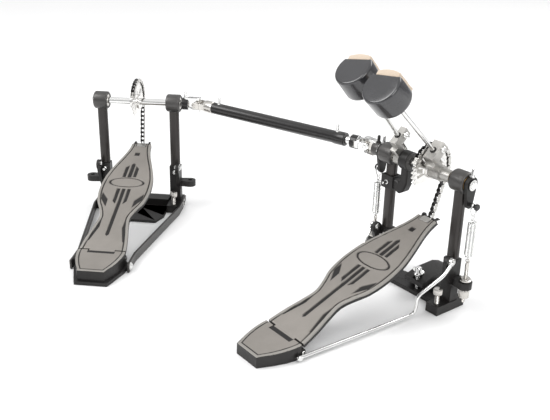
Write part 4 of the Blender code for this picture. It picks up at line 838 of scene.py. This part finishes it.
def chain_links(pins, x, outer_first):
    """Plates, rollers and pins of a chain along its pins, as a dark shape and a shape of bright pins
    and painted-highlight plates.

    Pins are (y, z) points. A link joins each pin to the next; inner and outer links alternate,
    and the outer plate on the far side of each link gets the bright finish as a painted highlight
    of that lit side, while the same plates on the near side stay dark."""
    pins = np.asarray(pins, float)
    dark, pins_and_painted_light = [], []
    for index, (start, end) in enumerate(zip(pins[:-1], pins[1:])):
        pitch = np.linalg.norm(end - start)
        along = np.array([0.0, *((end - start) / pitch)])
        side = np.array([0.0, -along[2], along[1]])
        outline = link_outline(pitch)
        outer = (index % 2 == 0) == outer_first
        inner_face, outer_face = (2.45, 3.25) if outer else (1.6, 2.35)
        for sign in (-1, 1):
            low, high = sorted((sign * inner_face, sign * outer_face))
            plate = turned_to(slab(outline, low, high), (x, *start), along, side, (1.0, 0.0, 0.0))
            # painted highlight: the far-side (+x) outer plates take the bright finish because that side is
            # lit; their near-side twins stay dark
            (pins_and_painted_light if outer and sign > 0 else dark).append(plate)
    for pin in pins:
        dark.append(lathe([(1.65, -1.6), (1.65, 1.6)], (x, *pin), (1, 0, 0), 14))
        pins_and_painted_light.append(lathe([(0.95, -3.55), (0.95, 3.55)], (x, *pin), (1, 0, 0), 10))
    return together(*dark), together(*pins_and_painted_light)


def chain_piece(name, pins, x, body, place, outer_first):
    """A chain along its pins, as a dark piece and a piece of bright pins and painted-highlight plates."""
    dark, pins_and_painted_light = chain_links(pins, x, outer_first)
    piece(name + "_plates", dark, body, CHAIN_BLACK, place, (name,))
    piece(name + "_pins_and_painted_light_plates", pins_and_painted_light, body, CHAIN_PINS_AND_PAINTED_LIGHT, place)


def web_loops(sign, angle, windows, squeeze):
    """Loops of one face of a wheel's web from the hub out, or back in for a negative sign.

    Each row of WEB_ROWS is (radius, half thickness); in the window range the web is only that
    thin where a window lies. Squeeze draws the loops in where the wheel is cut flat."""
    loops = []
    for whole, thin in WEB_ROWS:
        inset = WINDOW_RANGE[0] < whole < WINDOW_RANGE[1]
        half = thin + ((WEB_HALF - thin) * (1.0 - windows) if inset else 0.0)
        radius = np.where(whole > WEB_START, WEB_START + (whole - WEB_START) * squeeze, whole)
        loops.append(np.column_stack([sign * (half + 0 * angle), radius * np.cos(angle),
                                      radius * np.sin(angle)]))
    return loops if sign > 0 else loops[::-1]


def sprocket_piece(name, x, body, place, leave):
    """Toothed wheel: a thick hub, a pierced web and teeth that reach between the chain's plates.

    The rim's radius is root + (tip - root) * a rounded cosine of 32 a; the teeth are turned so
    that each gap faces a pin."""
    fine = TEETH * 12
    angle = np.arange(fine) * TAU / fine
    wave = np.clip(np.cos((angle - radians(leave) + np.pi / TEETH) * TEETH) * 1.3, -1.0, 1.0) * 0.5 + 0.5
    outer = TOOTH_ROOT + TOOTH_HEIGHT * wave
    down = np.maximum(-np.sin(angle), 0.01)
    edge = np.minimum(outer, SPROCKET_DROP / down)
    whole = edge > outer - 0.01
    squeeze = (edge - WEB_START) / (outer - WEB_START)
    spokes = 6
    windows = (np.clip(np.cos(angle * spokes) * 3.0, -1.0, 1.0) * 0.5 + 0.5) * whole
    front = web_loops(1, angle, windows, squeeze)
    rim = [np.column_stack([side + 0 * angle, edge * shrink * np.cos(angle), edge * shrink * np.sin(angle)])
           for side, shrink in ((1.2, 0.985), (0.7, 1.0), (-0.7, 1.0), (-1.2, 0.985))]
    stack = np.array(front + rim + web_loops(-1, angle, windows, squeeze) + front[:1])
    points = stack.reshape(-1, 3) + np.array([x, 0.0, AXLE_Z])
    hub = lathe(ring_profile(AXLE_RADIUS + 0.1, 11.0, -10.0, 4.1, 0.9), (x, 0, AXLE_Z), (1, 0, 0), 64)
    screw = key_screw((x - 6.4, 7.4, AXLE_Z - 7.4), (0, 0.7, -0.7), 0.75, 5.0)
    shape = together((points, grid_faces(len(stack), fine, wrap=True)), hub)
    piece(name + "_wheel", shape, body, POLISHED, place, (name,), smooth=30)
    piece(name + "_set_screw", screw, body, CHROME, place)


def chain_drive(prefix, x, place, axle_body, toe_joint, feed_joint):
    """Chain pins on the pitch circle and along the hanging run, from the joints' own places."""
    turn, origin = place

    def local(joint):
        point = turn.T @ (np.array(JOINTS[joint]["pos_m"]) / MM - origin)
        return point[1], point[2] - AXLE_Z

    toe, feed = local(toe_joint), local(feed_joint)
    step = 360.0 / TEETH
    start = np.degrees(np.arctan2(feed[1], feed[0]))
    leave = start - FEED_LINKS * step
    wrapped = int((WRAP_START - start) / step)
    circle = arc_points((0.0, AXLE_Z), PITCH_RADIUS, start + wrapped * step, start, wrapped + 1)
    chain_piece(prefix + "chain_wrap", circle, x, axle_body, place, wrapped % 2 == 1)
    feeding = arc_points((0.0, AXLE_Z), PITCH_RADIUS, start, leave, FEED_LINKS + 1)
    chain_piece(prefix + "chain_feed", feeding, x, prefix + "chain_feed", place, False)
    first = feeding[-1]
    last = np.array([toe[0], toe[1] + AXLE_Z])
    links = int(round(np.linalg.norm(last - first) / CHAIN_PITCH))
    run = first + (last - first) * np.linspace(0.0, 1.0, links + 1)[:, None]
    chain_piece(prefix + "chain_run", run, x, prefix + "chain_run", place, False)
    sprocket_piece(prefix + "sprocket", x, axle_body, place, leave)
    spoke = unit(circle[0] - np.array([0.0, AXLE_Z]))
    anchor = turned_to(block((-4.0, -3.6, -1.6), (5.0, 3.6, 1.6)), (x, *circle[0]),
                       (0, *spoke[::-1] * [-1, 1]), (1, 0, 0), (0, *spoke))
    piece(prefix + "chain_anchor", anchor, axle_body, SATIN_CAST, place, bevel=0.5)


# ---------------------------------------------------------------- axles, joints and shaft

def yoke(centre, axis, arm_axis, hub_end=25.0):
    """Fork of a universal joint: turned hub, flared shoulder and two round-ended arms."""
    axis, arm_axis = unit(axis), unit(arm_axis)
    across = np.cross(axis, arm_axis)
    hub = lathe([(0.0, 12.5), (6.0, 13.0), (8.4, 14.6), (9.0, 16.5), (9.0, hub_end - 1.0), (8.2, hub_end)],
                centre, axis, 48)
    parts = [hub]
    flare = slab(np.array([(9.0, -10.4), (9.0, -7.2), (12.8, -5.4), (12.8, 5.4), (9.0, 7.2), (9.0, 10.4),
                           (14.5, 10.4), (18.5, 8.6), (18.5, -8.6), (14.5, -10.4)]), -4.6, 4.6)
    parts.append(turned_to(flare, centre, axis, arm_axis, across))
    for side in (-1, 1):
        outline = np.vstack([arc_points((0.0, 0.0), 5.0, 100, 260, 13), [(10.0, -4.6), (10.0, 4.6)]])
        arm = slab(outline, side * 7.2 if side > 0 else -10.4, 10.4 if side > 0 else -7.2)
        parts.append(turned_to(arm, centre, axis, across, arm_axis))
        pin_end = np.asarray(centre, float) + arm_axis * side * 10.2
        parts.append(lathe([(2.9, 0.0), (2.9, 0.35), (2.3, 0.6), (0.0, 0.6)], pin_end, arm_axis * side, 24))
    return together(*parts)


def hub_sleeve(centre, axis, hub_end=25.0):
    """Dark sleeve on the turned hub of a fork."""
    return lathe(ring_profile(8.6, 9.3, 14.6, hub_end - 0.4, 0.3), centre, axis, 48)


def cross_piece(name, centre, axis, body):
    """Universal joint cross: cube with four trunnions, each with a cup."""
    level = unit(np.cross([0.0, 0.0, 1.0], axis))
    cube = turned_to(block((-4.4, -4.4, -4.4), (4.4, 4.4, 4.4)), centre, unit(axis), level, (0, 0, 1))
    parts = [cube]
    trunnion = [(3.4, 3.8), (3.4, 5.6), (2.2, 6.2), (2.2, 10.2), (0.0, 10.2)]
    for direction in (level, -level, np.array([0, 0, 1.0]), np.array([0, 0, -1.0])):
        parts.append(lathe(trunnion, centre, direction, 24))
    piece(name + "_finished", together(*parts), body, NICKEL, DRUM, (name,), bevel=0.4)


def shaft_pieces():
    """Telescopic shaft: chrome inner rod in a black tube, clamped by square-headed screws."""
    near, far = SHAFT_START, SHAFT_END
    axis = unit(far - near)
    rod = lathe(rod_profile(5.0, 24.0, 185.0), near, axis, 48)
    piece("shaft_rod_finished", together(yoke(near, axis, np.cross([0.0, 0.0, 1.0], axis)), rod),
          "drive_shaft_rod", CHROME, DRUM, ("drive_shaft_rod",), bevel=0.35)
    length = np.linalg.norm(far - near) - TUBE_START
    tube = lathe([(0.0, 30.0), (7.2, 30.0), (8.6, 31.4), (8.6, length - 18.0), (9.3, length - 16.8),
                  (9.3, length - 0.8), (8.5, length), (5.5, length), (5.4, length - 0.8), (5.4, 120.0),
                  (0.0, 120.0)], far, -axis, 64)
    piece("shaft_tube_finished", tube, "drive_shaft_tube", TUBE_BLACK, DRUM,
          ("drive_shaft_tube",))
    far_yoke = yoke(far, -axis, np.cross([0.0, 0.0, 1.0], axis), 31.0)
    piece("shaft_tube_yoke", far_yoke, "drive_shaft_tube", NICKEL, bevel=0.35)
    up = np.array([0.0, 0.0, 1.0])
    screws = together(key_screw(far - axis * (length - 14.0) + up * 8.8, up, 0.95, 9.0),
                      key_screw(far - axis * 42.0 + up * 8.2, up, 0.95, 9.0))
    piece("shaft_tube_screws", screws, "drive_shaft_tube", CHROME)
    piece("shaft_rod_sleeve", hub_sleeve(near, axis), "drive_shaft_rod", TUBE_BLACK)
    cross_piece("drum_joint_cross", near, axis, "drum_joint_cross")
    cross_piece("outrigger_joint_cross", far, axis, "outrigger_joint_cross")


def axle_pieces():
    """Chrome axles with their forks, and the bolt in the outrigger axle's free end."""
    right = lathe(rod_profile(AXLE_RADIUS, -30.0, 76.8, 0.8), (0, 0, AXLE_Z), (1, 0, 0), 48)
    piece("right_axle_finished", right, "right_axle", CHROME, DRUM, ("right_axle",))
    left = together(yoke((LEFT_JOINT_X, 0, AXLE_Z), (1, 0, 0), (0, 0, 1)),
                    lathe(rod_profile(AXLE_RADIUS, 24.0, 73.0), (LEFT_JOINT_X, 0, AXLE_Z), (1, 0, 0), 48))
    piece("left_axle_finished", left, "left_axle", CHROME, DRUM, ("left_axle",), bevel=0.35)
    centre = (OUTRIGGER_JOINT_X, 0, AXLE_Z)
    far_rod = lathe(rod_profile(AXLE_RADIUS, 24.0, 165.0), centre, (-1, 0, 0), 48)
    far_bolt = hex_bolt((-69.6, 0, AXLE_Z), (-1, 0, 0), 4.4, 3.4)
    piece("outrigger_axle_finished", together(yoke(centre, (-1, 0, 0), (0, 0, 1)), far_rod, far_bolt),
          "outrigger_axle", CHROME, OUTRIGGER, ("outrigger_axle",), bevel=0.35)
    piece("left_axle_sleeve", hub_sleeve((LEFT_JOINT_X, 0, AXLE_Z), (1, 0, 0)), "left_axle",
          COLLAR_GREY)
    piece("left_axle_screw", key_screw((-84.5, 0, AXLE_Z + 9.0), (0, 0, 1), 0.95, 9.0), "left_axle",
          CAST_BLACK)
    piece("outrigger_axle_sleeve", hub_sleeve(centre, (-1, 0, 0)), "outrigger_axle", TUBE_BLACK,
          OUTRIGGER)
    piece("outrigger_axle_screw", key_screw((75.5, 0, AXLE_Z + 9.0), (0, 0, 1), 0.95, 9.0),
          "outrigger_axle", CHROME, OUTRIGGER)


def spring_cams():
    """Black cams with the axle's end bolt, a clamping screw and the spring pin's cap."""
    for label, side in (("right", 1), ("left", -1)):
        body = label + "_axle"
        refined(label + "_spring_cam", body, CAST_BLACK, 0.5)
        pin_end = lathe([(2.5, -2.0), (4.0, -1.6), (4.2, 0.6), (3.2, 1.6), (0.0, 1.8)],
                        (side * (SPRING_X + 4.0), 0, AXLE_Z - CAM_PIN_DROP), (side, 0, 0), 32)
        piece(label + "_cam_cap", pin_end, body, BLACK_PLASTIC)
        cam_x = side * (POST_X + (0.0 if side > 0 else 5.0) + 13.8)
        screw = key_screw((cam_x, 0.0, AXLE_Z + 9.6), (0, 0.25, 1), 0.95, 9.5)
        parts = [screw]
        if side > 0:
            parts.append(hex_bolt((74.0, 0, AXLE_Z), (1, 0, 0), 5.6, 2.6))
        piece(label + "_cam_screw", together(*parts), body, CHROME)


# ---------------------------------------------------------------- springs

def coil_path(x, low, high, turns, radius):
    """Helix about the upright line through x: its radius swells from 0 to full in the end turns."""
    count = int(turns * 26)
    t = np.linspace(0.0, 1.0, count)
    angle = t * turns * TAU
    swell = np.minimum(soft_step(t * turns, 0.5, 1.0), soft_step((1.0 - t) * turns, 0.5, 1.0))
    r = 0.35 + (radius - 0.35) * swell
    ends = 0.07
    z = low + (high - low) * (ends * np.clip(t * turns, 0, 1) + (1 - 2 * ends) * t
                              + ends * np.clip(1 - (1 - t) * turns, 0, 1))
    spoke = np.column_stack([np.cos(angle), np.sin(angle), np.zeros(count)])
    return np.column_stack([x + r * spoke[:, 0], r * spoke[:, 1], z]), spoke


def eye_ring(x, z, radius, wire_radius, axis):
    """Round eye: a circle swept with a wire, square to axis."""
    first, second = square_axes(axis)
    angle = np.arange(28) * TAU / 28
    spokes = np.cos(angle)[:, None] * first + np.sin(angle)[:, None] * second
    circle = np.array([x, 0.0, z]) + radius * spokes
    return loop_tube(circle, wire_radius, np.asarray(axis, float), 10)


def spring_pieces():
    """Closely wound coils stretched between their anchors, their wire links and eye bolts."""
    for label, side in (("right", 1), ("left", -1)):
        x = side * SPRING_X
        anchor, stretch = label + "_spring_anchor", label + "_spring"
        path, spoke = coil_path(x, SPRING_LOW, SPRING_HIGH, 30, 4.75)
        coil = sweep(path, 0.72, spoke, 8)
        top_eye = eye_ring(x, 132.4, 2.5, 0.75, (1, 0, 0))
        low_eye = eye_ring(x, 76.6, 2.5, 0.75, (1, 0, 0))
        spring = piece(stretch + "_coil", together(coil, top_eye, low_eye), None, CHROME,
                       DRUM, (stretch,), smooth=60)
        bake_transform(spring)
        top = AXLE_Z - CAM_PIN_DROP + 2.4 + 1.0 + 0.4
        corners = [(x, -3.2, top), (x, 3.2, top), (x, 6.5, top - 7), (x, 2.0, 135.2), (x, -2.0, 135.2),
                   (x, -6.5, top - 7)]
        link = loop_tube(rounded_path(corners, 2.2, 5, closed=True), 1.0, (1, 0, 0), 12)
        piece(stretch + "_link_finished", link, stretch, CHROME, DRUM, (stretch + "_link",))
        thread = lathe(thread_profile(2.3, 18.0, 64.0, 0.9, 0.25), (x, 0, 0), (0, 0, 1), 20)
        neck = lathe([(2.3, 63.8), (2.3, 66.0), (2.7, 68.0), (1.7, 72.6), (0.0, 73.4)],
                     (x, 0, 0), (0, 0, 1), 24)
        eye = eye_ring(x, 74.6, 2.3, 0.95, (0, 1, 0))
        washer = lathe([(2.4, 48.1), (7.4, 48.1), (7.4, 49.4), (6.2, 50.0), (5.6, 51.5), (2.4, 51.5)],
                       (x, 0, 0), (0, 0, 1), 40)
        lock = lathe([(2.4, 24.6), (6.0, 24.6), (6.6, 25.4), (6.6, 34.6), (6.0, 35.6), (2.4, 35.9)],
                     (x, 0, 0), (0, 0, 1), 96, (28, 0.03))
        piece(label + "_eye_bolt_finished", together(thread, neck, eye, washer, lock), anchor, NICKEL,
              DRUM, (label + "_eye_bolt",))


# ---------------------------------------------------------------- beaters

class Beater:
    """Place of one beater: across x, lean towards the player, head's far end and turn about its rod."""

    def __init__(self, x, lean, end, twist):
        self.x, self.end = x, end
        self.out = np.array([0.0, np.cos(radians(lean)), np.sin(radians(lean))])
        self.up = np.array([0.0, -np.sin(radians(lean)), np.cos(radians(lean))])
        side = np.array([1.0, 0.0, 0.0])
        self.across = np.cos(radians(twist)) * side + np.sin(radians(twist)) * self.out
        self.facing = np.cos(radians(twist)) * self.out - np.sin(radians(twist)) * side

    def at(self, out, high, shift=0.0):
        return np.array([self.x + shift, 0.0, AXLE_Z]) + out * self.out + high * self.up


BEATERS = {"right": Beater(19.3, 46.0, 167.3, 8.0), "left": Beater(-42.6, 41.0, 161.0, 13.0)}


def head_shape(beater):
    """Beater head: a rounded cylinder whose drum side is flat.

    At angle a from the drum side the radius is the smaller of the profile's radius and
    chord / cos a, except where half the felt's width lies inside radius * sin a."""
    low, high = beater.end - HEAD_LENGTH, beater.end
    arc = np.linspace(0.0, np.pi / 2, 9)
    lower = np.column_stack([HEAD_RADIUS - 6.0 + 6.0 * np.sin(arc), low + 6.0 - 6.0 * np.cos(arc)])
    upper = np.column_stack([HEAD_RADIUS - 2.8 + 2.8 * np.cos(arc), high - 2.8 + 2.8 * np.sin(arc)])
    profile = np.vstack([[(0.0, low + 0.6), (4.4, low + 0.6), (5.2, low)], lower, upper,
                         [(12.0, high - 0.05), (0.0, high - 0.1)]])
    sides = 144
    angle = np.arange(sides) * TAU / sides
    facing = np.cos(angle)
    corner = np.arctan2(FELT_HALF_WIDTH + 0.3, FELT_CHORD)
    shoulder = np.abs((angle + np.pi) % TAU - np.pi)
    flat = np.where(shoulder < corner, FELT_CHORD / np.maximum(facing, 0.05), 99.0)
    radii = np.minimum(profile[:, :1], flat[None, :])
    spokes = np.cos(angle)[:, None] * beater.facing + np.sin(angle)[:, None] * beater.across
    points = (beater.at(BEATER_OFFSET, 0.0) + profile[:, 1][:, None, None] * beater.up
              + radii[:, :, None] * spokes)
    return points.reshape(-1, 3), grid_faces(len(profile), sides, wrap=True)


def felt_shape(beater):
    """Felt pad: the round's segment beyond the chord, with rolled edges and an uneven nap.

    Rows run along the beater; each is the segment's outline shrunk towards its middle near the
    ends, and the nap is a sum of sines of the place."""
    low, high = beater.end - HEAD_LENGTH + 1.0, beater.end - 1.0
    chord = FELT_CHORD + 0.25
    edge = np.degrees(np.arcsin(FELT_HALF_WIDTH / FELT_RADIUS))
    curve = arc_points((0.0, FELT_CROWN - FELT_RADIUS), FELT_RADIUS, 90 - edge, 90 + edge, 60)
    ends = np.linspace(curve[-1, 1], chord, 8)[1:]
    back = np.column_stack([np.linspace(-FELT_HALF_WIDTH, FELT_HALF_WIDTH, 42)[1:-1], np.full(40, chord)])
    outline = np.vstack([curve, np.column_stack([np.full(7, -FELT_HALF_WIDTH), ends]), back,
                         np.column_stack([np.full(7, FELT_HALF_WIDTH), ends[::-1]])])
    middle = np.array([0.0, (chord + FELT_CROWN) / 2])
    shrink = np.array([0.0, 0.3, 0.6, 0.86, 0.95, 0.985] + [1.0] * 22 + [0.985, 0.95, 0.86, 0.6, 0.3, 0.0])
    along = np.concatenate([[0, 0, 0, 0, 0.012, 0.03], np.linspace(0.05, 0.95, 22),
                            [0.97, 0.988, 1, 1, 1, 1]])
    level = low + (high - low) * along
    rows = middle + (outline - middle)[None] * shrink[:, None, None]
    a, b, c = rows[..., 0], rows[..., 1], level[:, None] + 0 * rows[..., 0]
    nap = (0.16 * np.sin(2.9 * a + 1.3 * c) * np.sin(2.3 * c - 1.7 * b)
           + 0.10 * np.sin(5.3 * a - 3.1 * b + 4.1 * c))
    push = unit(np.stack([a, b], axis=-1) + 1e-6) * (nap * (b > chord + 0.8))[..., None]
    a, b = a + push[..., 0], b + push[..., 1]
    points = (beater.at(BEATER_OFFSET, 0.0) + a[..., None] * beater.across
              + b[..., None] * beater.facing + c[..., None] * beater.up)
    return points.reshape(-1, 3), grid_faces(len(rows), len(outline), wrap=True)


def beater_pieces():
    """Two beaters: chrome rod, moulded head, felt pad, clamping block and its screw."""
    for label, beater in BEATERS.items():
        axle, rod_body, head_body = label + "_axle", label + "_beater_rod", label + "_beater_head"
        tip = beater.end - HEAD_LENGTH + 24.0
        stem = lathe(rod_profile(2.75, 3.0, tip), beater.at(BEATER_OFFSET, 0.0), beater.up, 32)
        piece(rod_body + "_finished", stem, rod_body, CHROME, DRUM, (rod_body,))
        piece(head_body + "_finished", head_shape(beater), head_body, HEAD_PLASTIC, DRUM,
              (head_body,), smooth=40)
        felt = piece(label + "_felt_pad", felt_shape(beater), head_body, FELT, DRUM,
                     (label + "_beater_felt",), smooth=75)
        refined(label + "_beater_holder", axle, SATIN_CAST, 0.9)
        face = 7.7 if label == "right" else 5.0
        boss = lathe([(4.2, 0.0), (4.2, 1.4), (3.4, 2.2), (0.0, 2.2)],
                     beater.at(20.0, 25.0, face), (1, 0, 0), 40)
        screw = key_screw(beater.at(20.0, 25.0, face + 2.0), (1, 0, 0), 0.7, 5.0)
        piece(label + "_holder_screw", together(boss, screw), axle, CHROME)
        mouth = lathe(ring_profile(2.85, 4.3, 0.0, 0.5, 0.15), beater.at(BEATER_OFFSET, 30.9), beater.up, 40)
        piece(label + "_holder_mouth", mouth, axle, CAST_BLACK)


# ---------------------------------------------------------------- bases and clamp

def radius_rod_pieces():
    """Bent chrome rods from the ears down to the floor and in to the heel."""
    for label, side in (("right_", 1), ("left_", -1)):
        ear, knee, heel = side * 68.6, side * 53.0, 7.0 + side * 36.1
        corners = [(ear, -15, 71), (ear, -26, 58), (knee, -54, 30), (knee, -55, 11),
                   (knee - side * 1.5, -59, 5), (heel, -237, 5)]
        wire = sweep(rounded_path(corners, 7.0, 7), 2.3, (1, 0, 0), 20)
        eye = lathe(ring_profile(2.8, 5.0, -1.7, 1.7, 0.6), (ear, -15, 72), (1, 0, 0), 32)
        tip = lathe(rod_profile(3.6, -1.0, 3.0), (heel, -233, 5), (side, 0, 0), 24)
        piece(label + "radius_rod_finished", together(wire, eye, tip), "drum_frame", CHROME,
              DRUM, (label + "radius_rod",))


def clamp_pieces():
    """Floor bridge, hoop jaw and the threaded wing bolt that closes it."""
    refined("base_bridge", "drum_frame", CAST_BLACK, 0.8)
    refined("hoop_clamp_jaw", "hoop_clamp_jaw", CAST_BLACK, 0.9)
    centre = (8.0, -4.0, 0.0)
    thread = lathe(thread_profile(3.0, 0.8, 26.4, 1.0, 0.3), centre, (0, 0, 1), 24)
    collar = lathe([(3.0, 26.0), (5.6, 26.2), (5.6, 28.0), (4.4, 29.0), (4.2, 35.5), (3.0, 37.2), (0, 37.4)],
                   centre, (0, 0, 1), 40)
    wing = slab(superellipse(9.4, 3.2, 0.0, 40) + [0.0, 31.6], -1.3, 1.3, "y")
    wing = (wing[0] + np.array(centre), wing[1])
    piece("clamp_bolt_finished", together(thread, collar, wing), "hoop_clamp_bolt", CHROME,
          DRUM, ("hoop_clamp_bolt",), bevel=0.3)


def offset_arm_pieces():
    """Offset arm of the drum frame, its bearing ring and its clamping screws."""
    refined("offset_bearing_arm", "drum_frame", CAST_BLACK, 1.0)
    bearing = lathe(ring_profile(AXLE_RADIUS + 0.4, 11.6, -7.3, 7.3, 1.2), (-30.5, 0, AXLE_Z), (1, 0, 0), 56)
    piece("middle_bearing", bearing, "drum_frame", COLLAR_GREY)
    screws = together(key_screw((-57.0, -8.0, 136.0), (0, -1, 0), 0.9, 7.0),
                      key_screw((-46.8, 0.0, 136.0), (1, -0.4, 0), 0.8, 5.0))
    piece("arm_screws", screws, "drum_frame", CHROME)


def outrigger_floor_pieces():
    """Floor plate, side bars and their bolts."""
    refined("outrigger_base_plate", "outrigger_frame", CAST_BLACK, 0.8)
    bolts = []
    for label, side in (("right", 1), ("left", -1)):
        refined(f"outrigger_{label}_side_bar", "outrigger_frame", BAR_GREY, 0.5)
        bolts.append(hex_bolt((side * 41.7, -231.0, 7.2), (side, 0, 0), 4.4, 3.0))
        bolts.append(hex_bolt((side * 69.6, -4.0, 7.2), (side, 0, 0), 4.4, 3.0))
        bolts.append(hex_bolt((side * 57.0, 12.0, 11.8), (0, 0, 1), 4.0, 2.8))
    piece("outrigger_bolts", together(*bolts), "outrigger_frame", CHROME, OUTRIGGER)


# ---------------------------------------------------------------- stage

def studio():
    """Pale floor, a soft white room and large lights."""
    bpy.ops.mesh.primitive_plane_add(size=60.0, location=(0, 0, -0.0004))
    floor = bpy.context.object
    floor.name = "floor"
    made, nodes, links, shader, source = new_material("pale_floor")
    cloud = add_noise(nodes, links, source, 2.0, 3.0)
    links.new(add_ramp(nodes, links, cloud, 0.2, 0.8, (0.86, 0.86, 0.86), (0.88, 0.88, 0.88)),
              shader.inputs["Base Color"])
    shader.inputs["Roughness"].default_value = 0.7
    floor.data.materials.append(made)
    world = bpy.data.worlds.new("studio")
    bpy.context.scene.world = world
    world.use_nodes = True
    nodes, links = world.node_tree.nodes, world.node_tree.links
    source = nodes.new("ShaderNodeTexCoord")
    split = nodes.new("ShaderNodeSeparateXYZ")
    links.new(source.outputs["Generated"], split.inputs["Vector"])
    ramp = nodes.new("ShaderNodeValToRGB")
    ramp.color_ramp.elements[0].position = 0.02
    ramp.color_ramp.elements[0].color = (0.28, 0.28, 0.29, 1.0)
    ramp.color_ramp.elements[1].position = 0.75
    ramp.color_ramp.elements[1].color = (1.0, 1.0, 1.0, 1.0)
    links.new(split.outputs["Z"], ramp.inputs["Fac"])
    links.new(ramp.outputs["Color"], nodes["Background"].inputs["Color"])
    nodes["Background"].inputs["Strength"].default_value = 1.0
    for name, place, size, power in (("key", (-1.0, -1.6, 1.9), 1.6, 34.0),
                                     ("fill", (1.9, -0.9, 1.5), 1.4, 20.0),
                                     ("back", (0.2, 1.8, 1.7), 1.6, 22.0)):
        lamp = bpy.data.lights.new(name, "AREA")
        lamp.shape = "DISK"
        lamp.size = size
        lamp.energy = power
        light = bpy.data.objects.new(name, lamp)
        light.location = place
        aim = Vector((-0.15, -0.1, 0.1)) - Vector(place)
        light.rotation_euler = aim.to_track_quat("-Z", "Y").to_euler()
        bpy.context.scene.collection.objects.link(light)


def camera():
    """Camera on the player's right, looking down and across both pedals."""
    bearing, tilt, roll = radians(53.15), radians(23.38), radians(0.71)
    look = Vector((-np.sin(bearing) * np.cos(tilt), np.cos(bearing) * np.cos(tilt), -np.sin(tilt)))
    right = Vector((np.cos(bearing), np.sin(bearing), 0.0))
    up = right.cross(look)
    across = right * np.cos(roll) + up * np.sin(roll)
    above = up * np.cos(roll) - right * np.sin(roll)
    lens = bpy.data.cameras.new("camera")
    lens.sensor_width = 36.0
    lens.lens = 54.44
    lens.shift_x = 0.0405
    lens.shift_y = -0.0072
    made = bpy.data.objects.new("camera", lens)
    turn = Matrix((across, above, -look)).transposed().to_4x4()
    made.matrix_world = Matrix.Translation(Vector((0.64846, -0.75541, 0.53665))) @ turn
    bpy.context.scene.collection.objects.link(made)
    bpy.context.scene.camera = made


# ---------------------------------------------------------------- everything

camera()
studio()
footboard_set("", "footboard_hinge", "chain_run_turn")
footboard_set("outrigger_", "outrigger_footboard_hinge", "outrigger_run_turn")
for side, label in ((1, "right_"), (-1, "left_")):
    shift = 5.0 if side < 0 else 0.0
    post_set(label + "post", side * POST_X, side * POST_X - shift, "drum_frame", DRUM, side > 0)
    foot_set(label, side, "drum_frame", DRUM)
    anchor_set(label, side, label + "anchor_screw", DRUM)
    far = "outrigger_" + label
    post_set(far + "post", side * POST_X, side * POST_X, "outrigger_frame", OUTRIGGER, False)
    foot_set(far, side, "outrigger_frame", OUTRIGGER)
    anchor_set(far, side, far + "anchor_screw", OUTRIGGER)
chain_drive("", 7.0, DRUM, "right_axle", "chain_run_turn", "chain_feed_turn")
chain_drive("outrigger_", 0.0, OUTRIGGER, "outrigger_axle", "outrigger_run_turn", "outrigger_feed_turn")
shaft_pieces()
axle_pieces()
spring_cams()
spring_pieces()
beater_pieces()
radius_rod_pieces()
clamp_pieces()
offset_arm_pieces()
outrigger_floor_pieces()

bpy.context.scene.view_settings.view_transform = "Standard"
bpy.context.view_layer.update()
